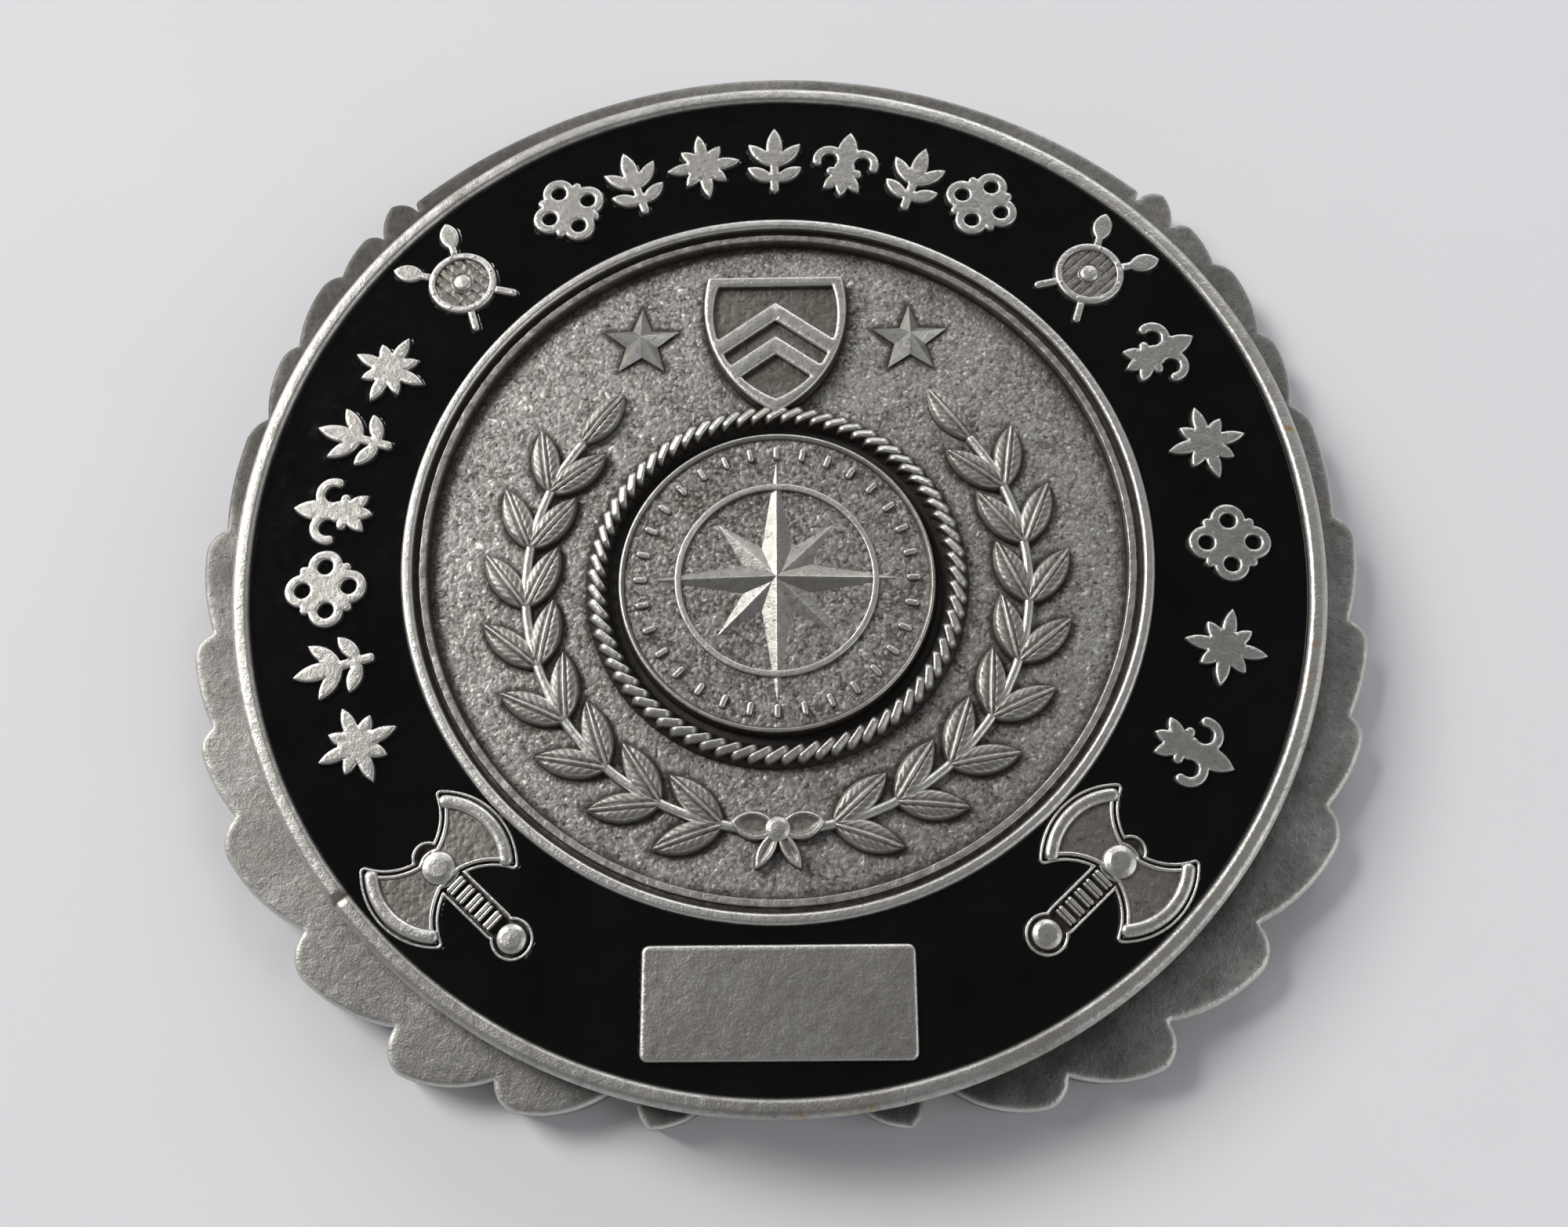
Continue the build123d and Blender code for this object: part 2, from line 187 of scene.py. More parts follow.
@flat_shape
def bar(px, py, x, y, length, width, turn=0.0):
    """Round-ended bar centred at a point, along +Y when `turn` is 0."""
    half = (length - width) / 2
    u, v = turned_into(px, py, x, y, turn)
    return np.hypot(u, v - np.clip(v, -half, half)) - width / 2


@flat_shape
def block(px, py, x, y, width, height, corner=0.0):
    """Rectangle with rounded corners."""
    u, v = np.abs(px - x) - width / 2 + corner, np.abs(py - y) - height / 2 + corner
    return np.hypot(np.maximum(u, 0), np.maximum(v, 0)) + np.minimum(np.maximum(u, v), 0) - corner


@flat_shape
def hook(px, py, x, y, radius, start, sweep, width):
    """Round-ended stroke along an arc."""
    middle, half = np.radians(start + sweep / 2), np.radians(abs(sweep) / 2)
    away = np.arctan2(py - y, px - x) - middle
    away = np.clip(np.arctan2(np.sin(away), np.cos(away)), -half, half) + middle
    return np.hypot(px - x - radius * np.cos(away), py - y - radius * np.sin(away)) - width / 2


def lens_shift(length, width):
    """How far behind a pointed leaf's axis the centre of its edge's arc lies."""
    return (0.2475 * length**2 - width**2 / 4) / width


@flat_shape
def lens(px, py, x, y, length, width, turn=0.0):
    """Pointed leaf standing on a point, along +Y when `turn` is 0."""
    shift = lens_shift(length, width)
    u, v = turned_into(px, py, x, y, turn)
    return np.hypot(np.abs(u) + shift, v - length / 2) - np.hypot(shift, length / 2)


@flat_shape
def polygon(px, py, outline):
    """Closed outline of points."""
    sx, sy = outline.T
    ax, ay = (np.roll(outline, -1, 0) - outline).T
    length2 = ax**2 + ay**2
    with np.errstate(divide="ignore", invalid="ignore"):
        lean = ax / ay
    top, foot = np.maximum(sy, sy + ay), np.minimum(sy, sy + ay)
    flat_x, flat_y = px.ravel()[:, None], py.ravel()[:, None]
    out = np.empty(px.size)
    for low in range(0, px.size, 2000):
        part = slice(low, low + 2000)
        dx, dy = flat_x[part] - sx, flat_y[part] - sy
        share = np.clip((dx * ax + dy * ay) / length2, 0, 1)
        near = np.sqrt(((dx - share * ax) ** 2 + (dy - share * ay) ** 2).min(1))
        with np.errstate(invalid="ignore"):
            crosses = (flat_y[part] < top) & (flat_y[part] >= foot) & (dx < dy * lean)
        out[part] = np.where(crosses.sum(1) % 2 == 1, -near, near)
    return out.reshape(px.shape)


def line_points(first, last, step=0.12):
    """Points from `first` up to but not including `last` on a straight line."""
    first, last = np.array(first), np.array(last)
    count = max(int(np.hypot(*(last - first)) / step), 1)
    return [tuple(first + (last - first) * k / count) for k in range(count)]


def three_point_arc(first, middle, last, step=0.12):
    """Points from `first` up to but not including `last` on the arc through all three."""
    (ax, ay), (bx, by), (cx, cy) = first, middle, last
    d = 2 * (ax * (by - cy) + bx * (cy - ay) + cx * (ay - by))
    a2, b2, c2 = ax**2 + ay**2, bx**2 + by**2, cx**2 + cy**2
    centre_x = (a2 * (by - cy) + b2 * (cy - ay) + c2 * (ay - by)) / d
    centre_y = (a2 * (cx - bx) + b2 * (ax - cx) + c2 * (bx - ax)) / d
    centre = np.array([centre_x, centre_y])
    start, via, end = (np.arctan2(*(np.array(p) - centre)[::-1]) for p in (first, middle, last))
    swing = (end - start) % (2 * np.pi)
    if (via - start) % (2 * np.pi) > swing:
        swing -= 2 * np.pi
    radius = np.hypot(*(np.array(first) - centre))
    count = max(int(abs(swing) * radius / step), 3)
    angles = start + swing * np.arange(count) / count
    return [tuple(centre + radius * np.array([np.cos(a), np.sin(a)])) for a in angles]


def around(x, y, reach):
    """Square box (low x, low y, high x, high y) about a place."""
    return (x - reach, y - reach, x + reach, y + reach)


def in_box(x, y, box, margin):
    inside = (x > box[0] - margin) & (x < box[2] + margin)
    return inside & (y > box[1] - margin) & (y < box[3] + margin)


def nearest(apart, x, y, shapes, margin):
    """The grid of distances `apart`, lowered near each (shape, box) of a list."""
    for shape, box in shapes:
        close = in_box(x, y, box, margin)
        apart[close] = np.minimum(apart[close], shape(x[close], y[close]))
    return apart


# ---- meshes ----
def make_piece(name, verts, faces, wear, material, slot, flat=False):
    """A mesh in metres that rides on the coin, with its wear kept as a vertex value."""
    mesh = bpy.data.meshes.new(name)
    mesh.from_pydata((np.asarray(verts, float) * MM).tolist(), [], faces)
    mesh.update()
    mesh.validate()
    # This value holds worn metal and patina, and in places painted shade and painted highlights.
    layer = mesh.attributes.new("wear", "FLOAT", "POINT")
    layer.data.foreach_set("value", np.asarray(wear, np.float32))
    mesh.materials.append(material)
    mesh.polygons.foreach_set("use_smooth", [not flat] * len(mesh.polygons))
    piece = bpy.data.objects.new(name, mesh)
    bpy.context.collection.objects.link(piece)
    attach(piece, "root")
    return piece


class Bundle:
    """Verts, faces and wear of many small forms that make one piece."""

    def __init__(self):
        self.verts, self.faces, self.wear, self.count = [], [], [], 0

    def add(self, verts, faces, wear):
        self.verts.append(np.asarray(verts, float))
        self.wear.append(np.broadcast_to(wear, len(verts)))
        self.faces += [[i + self.count for i in face] for face in faces]
        self.count += len(verts)

    def add_turned(self, corners, segments, centre=(0.0, 0.0), steps=6):
        self.add(*lathe(filleted(corners, steps), segments, centre))

    def build(self, name, material, slot, flat=False):
        form = np.vstack(self.verts), self.faces, np.concatenate(self.wear)
        return make_piece(name, *form, material, slot, flat)


def grid_quads(ids):
    """Four-sided faces of a grid of vertex numbers."""
    return np.stack([ids[:-1, :-1], ids[:-1, 1:], ids[1:, 1:], ids[1:, :-1]], -1)


def loop_edges(start, count):
    """Edges of a closed loop of `count` points numbered from `start`."""
    return [(start + i, start + (i + 1) % count) for i in range(count)]


def walled(top, faces, wear, rim, edges, rows):
    """A top with walls: rows of (points, wear) hung below its vertices `rim`, joined along edges."""
    verts, wears, total = [top], [wear], len(top)
    ahead, behind = np.array(edges).T
    for points, value in rows:
        below = np.arange(total, total + len(points))
        total += len(points)
        faces = faces + np.stack([rim[ahead], rim[behind], below[behind], below[ahead]], -1).tolist()
        verts.append(points)
        wears.append(np.full(len(points), value))
        rim = below
    return np.vstack(verts), faces, np.concatenate(wears)


def staggered(box, pitch):
    """Points of a grid whose every other row is shifted by half a step."""
    xs, ys = np.meshgrid(np.arange(box[0], box[2], pitch), np.arange(box[1], box[3], pitch))
    xs[::2] += pitch / 2
    return np.column_stack([xs.ravel(), ys.ravel()])


def triangulated(points, edges, keep, facing=1):
    """Flat points, the triangles kept by their middles, and where each given point went."""
    out = delaunay_2d_cdt([Vector(p) for p in points], edges, [], 0, 1e-6)
    flat = np.array([tuple(v) for v in out[0]])
    triangles = np.array(out[2], int)
    triangles = triangles[keep(*flat[triangles].mean(1).T)]
    a, b, c = (flat[triangles[:, k]] for k in range(3))
    turn = (b - a)[:, 0] * (c - a)[:, 1] - (b - a)[:, 1] * (c - a)[:, 0]
    wrong = turn * facing < 0
    triangles[wrong] = triangles[wrong][:, ::-1]
    home = np.full(len(points), -1)
    for index, sources in enumerate(out[3]):
        for source in sources:
            home[source] = index
    return flat, triangles.tolist(), home


def contour(shape, box, step):
    """Points and segments of the line where a shape's distance is 0."""
    xs = np.arange(box[0], box[2] + step, step)
    ys = np.arange(box[1], box[3] + step, step)
    gx, gy = np.meshgrid(xs, ys)
    value = shape(gx, gy)
    inside = value < 0
    across = inside[:, :-1] != inside[:, 1:]
    along = inside[:-1, :] != inside[1:, :]
    share = value[:, :-1][across] / (value[:, :-1] - value[:, 1:])[across]
    rise = value[:-1, :][along] / (value[:-1, :] - value[1:, :])[along]
    on_rows = np.column_stack([gx[:, :-1][across] + step * share, gy[:, :-1][across]])
    on_columns = np.column_stack([gx[:-1, :][along], gy[:-1, :][along] + step * rise])
    ids_across = np.full(across.shape, -1)
    ids_across[across] = np.arange(across.sum())
    ids_along = np.full(along.shape, -1)
    ids_along[along] = np.arange(along.sum()) + across.sum()
    sides = np.stack([ids_across[:-1], ids_along[:, 1:], ids_across[1:], ids_along[:, :-1]], -1)
    sides = sides.reshape(-1, 4)
    found = (sides >= 0).sum(1)
    pairs = [[i for i in cell if i >= 0] for cell in sides[found == 2]]
    corner = inside[:-1, :-1].reshape(-1)[found == 4]
    for (bottom, right, top, left), low_left in zip(sides[found == 4], corner):
        pairs += [[bottom, right], [top, left]] if low_left else [[bottom, left], [top, right]]
    return np.vstack([on_rows, on_columns]), np.array(pairs, int)


def outward(shape, points, step=0.004):
    """Unit direction in which a shape's distance grows."""
    x, y = points[:, 0], points[:, 1]
    slope_x = shape(x + step, y) - shape(x - step, y)
    slope_y = shape(x, y + step) - shape(x, y - step)
    slope = np.column_stack([slope_x, slope_y])
    return slope / np.maximum(np.linalg.norm(slope, axis=1, keepdims=True), 1e-9)


def rounded(deep, top_z, edge):
    """Height at a distance inside the outline: a quarter round, then flat."""
    return top_z - edge * (1 - np.sqrt(1 - np.clip(1 - deep / edge, 0, 1) ** 2))


def relief(
    bundle, shape, box, base_z, top, edge, step=0.05, draft=0.1, inner=0.16,
    top_wear=0.72, rings=(0.35, 1.0), wall_wear=(0.62, 0.3, 0.05, 0.0),
):
    """A raised form: its outline, rings inside it on the edge, its face and its walls.

    Its top is one height with a rounded edge, or a function height(x, y, deep).
    """
    points, segments = contour(shape, box, step)
    normals = outward(shape, points)
    loose = []
    for share in rings:
        ring_points = points - normals * edge * share
        deep = -shape(ring_points[:, 0], ring_points[:, 1])
        loose.append(ring_points[np.abs(deep - edge * share) < 0.2 * edge * share + 0.002])
    grid = staggered(box, inner)
    loose.append(grid[shape(*grid.T) < -edge - 0.4 * inner])
    everything = np.vstack([points, *loose])
    flat, faces, home = triangulated(everything, segments.tolist(), lambda x, y: shape(x, y) < 1e-5)
    deep = np.maximum(-shape(flat[:, 0], flat[:, 1]), 0)
    z = top(*flat.T, deep) if callable(top) else rounded(deep, top, edge)
    wear = np.where(deep < edge * 1.3, 1.0, top_wear)
    wear[deep < 1e-4] = 0.85
    along = points[segments[:, 1]] - points[segments[:, 0]]
    out = normals[segments[:, 0]]
    wrong = along[:, 0] * out[:, 1] - along[:, 1] * out[:, 0] < 0
    segments[wrong] = segments[wrong][:, ::-1]
    rim, rows = home[: len(points)], []
    rim_z = z[rim][:, None]
    for index, value in enumerate(wall_wear):
        share = (index + 1) / len(wall_wear)
        spread = points + normals * draft * (rim_z - base_z) * share
        rows.append((np.hstack([spread, rim_z + (base_z - rim_z) * share]), value))
    bundle.add(*walled(np.column_stack([flat, z]), faces, wear, rim, segments, rows))


def filleted(points, steps=6):
    """Corners (r, z, radius, wear) turned into a dense profile with round corners."""
    out = []
    for index, (r, z, radius, wear) in enumerate(points):
        if radius <= 0 or index in (0, len(points) - 1):
            out.append((r, z, wear))
            continue
        here = np.array([r, z])
        back = np.array(points[index - 1][:2]) - here
        ahead = np.array(points[index + 1][:2]) - here
        back, ahead = back / np.linalg.norm(back), ahead / np.linalg.norm(ahead)
        if np.linalg.norm(back + ahead) < 1e-3:
            out.append((r, z, wear))
            continue
        half = np.arccos(np.clip(back @ ahead, -1, 1)) / 2
        start, end = here + back * radius / np.tan(half), here + ahead * radius / np.tan(half)
        bisector = (back + ahead) / np.linalg.norm(back + ahead)
        centre = here + bisector * radius / np.sin(half)
        a0, a1 = np.arctan2(*(start - centre)[::-1]), np.arctan2(*(end - centre)[::-1])
        swing = np.arctan2(np.sin(a1 - a0), np.cos(a1 - a0))
        for k in range(steps + 1):
            angle = a0 + swing * k / steps
            out.append((centre[0] + radius * np.cos(angle), centre[1] + radius * np.sin(angle), wear))
    return np.array(out)


def lathe(profile, segments, centre=(0.0, 0.0), shape=None):
    """Verts, faces and wear of a profile (r, z, wear) turned about the axis."""
    angles = np.linspace(0, 2 * np.pi, segments, endpoint=False)
    count = len(profile)
    r, z, wear = (np.repeat(profile[None, :, k], segments, 0) for k in range(3))
    theta = np.repeat(angles[:, None], count, 1)
    if shape:
        r, z, wear = shape(r, z, wear, theta)
    verts = np.stack([centre[0] + r * np.sin(theta), centre[1] + r * np.cos(theta), z], -1)
    ids = np.arange(segments * count).reshape(segments, count)
    after = np.roll(ids, -1, 0)
    quads = np.stack([ids[:, :-1], after[:, :-1], after[:, 1:], ids[:, 1:]], -1).reshape(-1, 4)
    return verts.reshape(-1, 3), quads.tolist(), wear.ravel()


def grid_sheet(x, y, z, wear, keep):
    """Verts, faces and wear of a grid whose cells are kept where `keep` is true at a corner."""
    ids = np.arange(x.size).reshape(x.shape)
    cells = keep[:-1, :-1] | keep[1:, :-1] | keep[:-1, 1:] | keep[1:, 1:]
    used, packed = np.unique(grid_quads(ids)[cells], return_inverse=True)
    verts = np.column_stack([x.ravel(), y.ravel(), z.ravel()])[used]
    return verts, packed.reshape(-1, 4).tolist(), wear.ravel()[used]


# ---- materials ----
def new_material(name):
    material = bpy.data.materials.new(name)
    material.use_nodes = True
    tree = material.node_tree
    return material, tree, tree.nodes["Principled BSDF"]


def node(tree, kind, **settings):
    made = tree.nodes.new(kind)
    for key, value in settings.items():
        setattr(made, key, value)
    return made


def ramp(tree, source, stops):
    """Colour ramp with (place, grey or colour) stops."""
    made = node(tree, "ShaderNodeValToRGB")
    elements = made.color_ramp.elements
    while len(elements) < len(stops):
        elements.new(0.5)
    for element, (place, colour) in zip(elements, stops):
        element.position = place
        colour = (colour,) * 3 if isinstance(colour, float) else colour
        element.color = (*colour, 1.0)
    tree.links.new(source, made.inputs[0])
    return made.outputs["Color"]


def feed(tree, sockets, values):
    """Each value set on its socket, or linked to it where it is a socket itself."""
    for socket, value in zip(sockets, values):
        if isinstance(value, bpy.types.NodeSocket):
            tree.links.new(value, socket)
        else:
            socket.default_value = value


def math_node(tree, operation, first, second):
    made = node(tree, "ShaderNodeMath", operation=operation)
    feed(tree, made.inputs, (first, second))
    return made.outputs[0]


def multiplied(tree, first, second, factor=1.0):
    """Colour `first` times colour `second`, by `factor`."""
    made = node(tree, "ShaderNodeMix", data_type="RGBA", blend_type="MULTIPLY")
    feed(tree, (made.inputs["Factor"], made.inputs[6], made.inputs[7]), (factor, first, second))
    return made.outputs[2]


def noise(tree, scale, detail, roughness, distortion=0.0):
    """Noise over the piece's own place, so that it stays put when the piece moves."""
    made = node(tree, "ShaderNodeTexNoise")
    place = node(tree, "ShaderNodeTexCoord").outputs["Object"]
    names = ("Vector", "Scale", "Detail", "Roughness", "Distortion")
    feed(tree, [made.inputs[key] for key in names], (place, scale, detail, roughness, distortion))
    return made.outputs[0]


def bump(tree, height, distance, before=None):
    made = node(tree, "ShaderNodeBump")
    feed(tree, (made.inputs["Distance"], made.inputs["Height"]), (distance, height))
    if before:
        tree.links.new(before, made.inputs["Normal"])
    return made.outputs[0]


def brass_spots(tree):
    """Where the plating is worn to brass: low on the right of the rim and at the very bottom."""
    split = node(tree, "ShaderNodeSeparateXYZ")
    tree.links.new(node(tree, "ShaderNodeTexCoord").outputs["Object"], split.inputs[0])
    right = math_node(tree, "MULTIPLY", split.outputs["X"], 30.0)
    below = math_node(tree, "MULTIPLY", split.outputs["Y"], -30.0)
    right = ramp(tree, right, [(0.69, 0.0), (0.72, 1.0)])
    below = ramp(tree, below, [(0.73, 0.0), (0.745, 1.0)])
    spots = ramp(tree, noise(tree, 820.0, 4.0, 0.65, 0.6), [(0.6, 0.0), (0.7, 1.0)])
    return math_node(tree, "MULTIPLY", math_node(tree, "MAXIMUM", right, below), spots)


def silver(name, stops, rough, mottle, grain, pits, brassy=False):
    """Antiqued metal: dark brown where the vertex value for worn metal and painted light is low, polished
    where it is high.
    """
    material, tree, shader = new_material(name)
    value = node(tree, "ShaderNodeAttribute", attribute_name="wear").outputs["Fac"]
    for scale, detail, roughness, amount in ((2600.0, 4.0, 0.6, mottle * 2), (420.0, 2.0, 0.5, mottle)):
        blotches = math_node(tree, "SUBTRACT", noise(tree, scale, detail, roughness), 0.5)
        value = math_node(tree, "ADD", value, math_node(tree, "MULTIPLY", blotches, amount))
    specks = ramp(tree, noise(tree, 5200.0, 2.0, 0.5), [(0.6, 0.0), (0.68, 1.0)])
    value = math_node(tree, "SUBTRACT", value, math_node(tree, "MULTIPLY", specks, pits))
    tarnish = [(0.38, (1.0, 0.996, 0.985)), (0.66, (1.0, 0.975, 0.93))]
    colour = multiplied(tree, ramp(tree, value, stops), ramp(tree, noise(tree, 700.0, 3.0, 0.6), tarnish))
    if brassy:
        colour = multiplied(tree, colour, (1.0, 0.74, 0.36, 1.0), brass_spots(tree))
    roughness = [(0.0, rough[0]), (0.5, (rough[0] + rough[1]) / 2), (1.0, rough[1])]
    fine = bump(tree, noise(tree, 9000.0, 3.0, 0.6), grain)
    coarse = bump(tree, noise(tree, 2200.0, 4.0, 0.55, 0.4), grain * 2.2, before=fine)
    tree.links.new(colour, shader.inputs["Base Color"])
    tree.links.new(ramp(tree, value, [(0.0, 0.25), (0.35, 0.85), (0.6, 1.0)]), shader.inputs["Metallic"])
    tree.links.new(ramp(tree, value, roughness), shader.inputs["Roughness"])
    tree.links.new(coarse, shader.inputs["Normal"])
    return material


def black_enamel():
    material, tree, shader = new_material("black_enamel")
    shades = [(0.3, (0.0008, 0.0009, 0.0008)), (0.7, (0.0024, 0.0025, 0.0021))]
    polish = [(0.35, 0.07), (0.75, 0.16)]
    tree.links.new(ramp(tree, noise(tree, 300.0, 3.0, 0.6), shades), shader.inputs["Base Color"])
    tree.links.new(ramp(tree, noise(tree, 1500.0, 4.0, 0.7), polish), shader.inputs["Roughness"])
    tree.links.new(bump(tree, noise(tree, 350.0, 2.0, 0.5), 0.00003), shader.inputs["Normal"])
    shader.inputs["IOR"].default_value = 1.4
    return material


def pale_floor():
    material, tree, shader = new_material("pale_floor")
    shades = [(0.0, (0.64, 0.64, 0.655)), (1.0, (0.67, 0.67, 0.685))]
    tree.links.new(ramp(tree, noise(tree, 60.0, 3.0, 0.6), shades), shader.inputs["Base Color"])
    shader.inputs["Roughness"].default_value = 0.7
    return material


SILVER_STOPS = [
    (0.0, (0.012, 0.009, 0.007)),
    (0.22, (0.060, 0.048, 0.038)),
    (0.45, (0.190, 0.178, 0.162)),
    (0.7, (0.330, 0.322, 0.306)),
    (1.0, (0.590, 0.582, 0.560)),
]
FIELD_STOPS = [
    (0.0, (0.022, 0.017, 0.014)),
    (0.2, (0.090, 0.076, 0.066)),
    (0.5, (0.290, 0.282, 0.270)),
    (0.8, (0.430, 0.424, 0.408)),
    (1.0, (0.700, 0.692, 0.670)),
]
PLATE_STOPS = [
    (0.0, (0.030, 0.027, 0.024)),
    (0.3, (0.105, 0.100, 0.094)),
    (0.6, (0.235, 0.230, 0.220)),
    (0.8, (0.350, 0.344, 0.330)),
    (1.0, (0.580, 0.572, 0.550)),
]
STEEL_STOPS = [
    (0.0, (0.030, 0.026, 0.022)),
    (0.5, (0.300, 0.295, 0.285)),
    (1.0, (0.640, 0.635, 0.620)),
]
antique = silver("antique_silver", SILVER_STOPS, (0.6, 0.38), 0.22, 0.000014, 0.22, brassy=True)
pebbled = silver("pebbled_silver", FIELD_STOPS, (0.6, 0.46), 0.24, 0.00002, 0.32)
satin = silver("satin_silver", PLATE_STOPS, (0.66, 0.46), 0.2, 0.00002, 0.2)
steel = silver("rivet_steel", STEEL_STOPS, (0.5, 0.28), 0.1, 0.00001, 0.32)
enamel = black_enamel()

# ---- wing plate ----
OUTER_R = 28.3
ROOT_R = 25.05
BAND_END = 42.5
SHOULDER_ANGLE, SHOULDER_R, SHOULDER_TIP, SHOULDER_LEAD = 43.0, 27.8, 29.0, 0.36
FEATHER_EDGES = (47.9, 54.0, 63.2, 72.1, 85.2, 96.4, 106.2, 115.5, 128.8, 141.5, 152.2, 163.6)
FEATHER_NOTCHES = (27.85, 28.0, 27.5, 27.0, 27.2, 27.35, 27.8, 27.85, 27.5, 27.4, 26.8, 25.05)
FEATHER_TIPS = (28.55, 28.45, 27.9, 27.6, 28.0, 28.25, 28.5, 28.85, 28.8, 28.8, 27.6)
STUB_START, STUB_END, STUB_TIP = 165.8, 172.6, 26.4
PLATE_EDGE = 0.3
EDGE_RINGS = (0.04, 0.1, 0.18, 0.3, 0.45)
SEAT_WALL_R = 24.7
TOP_LOOPS = np.arange(24.9, 29.0, 0.22)
LOOP_STEPS, GROOVE_STEPS, RIVET_STEPS = 540, 480, 96
CHAMFER = 0.22
# height, way in from the outline and wear of the loops down the plate's wall
PLATE_WALL = (
    (1.35, 0.0, 0.75),
    (0.9, 0.0, 0.6),
    (0.45, 0.0, 0.5),
    (0.2, 0.02, 0.6),
    (0.06, 0.1, 0.7),
    (0.0, CHAMFER, 0.55),
)
BACK_R, BACK_W, BACK_D = 21.5, 0.6, 0.2
BACK_IN, BACK_OUT, BACK_LIP = BACK_R - BACK_W / 2, BACK_R + BACK_W / 2, 0.06
BORE_R, BORE_LIP = 1.9, 0.08
GROOVE = (
    (BACK_IN - BACK_LIP, 0.0, 0, 0.8),
    (BACK_IN, 0.0, 0.05, 0.85),
    (BACK_IN + 0.08, BACK_D, 0.05, 0.1),
    (BACK_OUT - 0.08, BACK_D, 0.05, 0.1),
    (BACK_OUT, 0.0, 0.05, 0.85),
    (BACK_OUT + BACK_LIP, 0.0, 0, 0.8),
)
BORE = (
    (BORE_R + BORE_LIP, 0.0, 0, 0.8),
    (BORE_R, 0.0, 0.05, 0.9),
    (BORE_R, 0.7, 0.05, 0.1),
    (1.0, 0.7, 0, 0.1),
)
RIVETS = [clock(13.0, 60 + 120 * k) for k in range(3)]
RIVET_HEAD = (
    (0.0, 0.05, 0, 0.7),
    (1.15, 0.055, 0.4, 0.75),
    (1.68, 0.09, 0.2, 0.85),
    (1.8, 0.22, 0.08, 0.95),
    (1.8, 0.7, 0.03, 0.2),
    (1.0, 0.7, 0.03, 0.1),
    (1.0, 3.2, 0.05, 0.1),
    (0.0, 3.2, 0, 0.1),
)


def feather(start, end, tip_radius, lead=0.27):
    """One feather's edge between two (angle, radius) feet: a short round shoulder, then a long vane."""
    (start_angle, start_radius), (end_angle, end_radius) = start, end
    span = end_angle - start_angle
    rise, fall = tip_radius - start_radius, tip_radius - end_radius
    shoulder = clock(start_radius + 0.68 * rise, start_angle + 0.32 * lead * span)
    tip = clock(tip_radius, start_angle + lead * span)
    vane = clock(end_radius + 0.68 * fall, start_angle + (1 + lead) / 2 * span)
    first, last = clock(start_radius, start_angle), clock(end_radius, end_angle)
    return three_point_arc(first, shoulder, tip) + three_point_arc(tip, vane, last)


def wing_outline():
    """Points round the wing plate, clockwise from the top."""
    feet = list(zip(FEATHER_EDGES, FEATHER_NOTCHES))
    band_end = clock(OUTER_R, BAND_END)
    points = three_point_arc(clock(OUTER_R, 0), clock(OUTER_R, BAND_END / 2), band_end)
    points += line_points(band_end, clock(SHOULDER_R, SHOULDER_ANGLE))
    points += feather((SHOULDER_ANGLE, SHOULDER_R), feet[0], SHOULDER_TIP, SHOULDER_LEAD)
    for start, end, tip in zip(feet[:-1], feet[1:], FEATHER_TIPS):
        points += feather(start, end, tip)
    points += line_points(clock(ROOT_R, FEATHER_EDGES[-1]), clock(ROOT_R, STUB_START))
    points += feather((STUB_START, ROOT_R), (STUB_END, ROOT_R), STUB_TIP)
    bottom = clock(ROOT_R, 180)
    points += three_point_arc(clock(ROOT_R, STUB_END), clock(ROOT_R, (STUB_END + 180) / 2), bottom)
    right = np.array(points + [bottom])
    left = right[1:-1][::-1] * (-1, 1)
    return np.vstack([right, left])


outline = wing_outline()
plate_shape = polygon(outline)
tangent = np.roll(outline, -1, 0) - np.roll(outline, 1, 0)
tangent /= np.linalg.norm(tangent, axis=1, keepdims=True)
inward = np.column_stack([-tangent[:, 1], tangent[:, 0]])
inward *= -np.sign((inward * outline).sum(1).mean())


def circle(radius, steps, x=0.0, y=0.0):
    angle = np.linspace(0, 2 * np.pi, steps, endpoint=False)
    return np.column_stack([x + radius * np.sin(angle), y + radius * np.cos(angle)])


def plate_wear(x, y, deep):
    """Darker where the plate meets the medallion's wall, as patina in that corner and painted shade, with the
    medallion's painted shadow fading out over the lower right and the upper and left parts painted darker;
    brighter along its worn edge.
    """
    apart = np.hypot(x, y) - MEDAL_R
    upper = share_of(y, 2.0, 12.0)
    left = share_of(-x, 8.0, 10.0) * share_of(y, -4.0, 8.0)
    painted_light_low_right = share_of(x, -4.0, 10.0) * share_of(-y, -4.0, 10.0)
    stain = share_of(value_noise(x, y, 2.2, 6), -0.3, 1)
    blotch = value_noise(x, y, 1.1, 7)
    # Painted shade: dark beside the medallion's wall, partly patina in that corner, the band wider at the
    # top; over the lower right it fades out slowly as the medallion's painted shadow, and the upper and left
    # parts are painted darker.
    wear = 0.25 + 0.4 * share_of(apart, 0, 0.5 + 1.2 * upper + 0.9 * painted_light_low_right) - 0.12 * stain
    wear += painted_light_low_right * (0.12 * share_of(apart, 0, 2.4) + 0.12 * blotch) - 0.2 * upper - 0.24 * left
    # The worn edge is brighter, less so on the left, where it is painted darker.
    return np.maximum(wear, 0.05) + (0.6 - 0.25 * left) * hump(deep, 0.2)


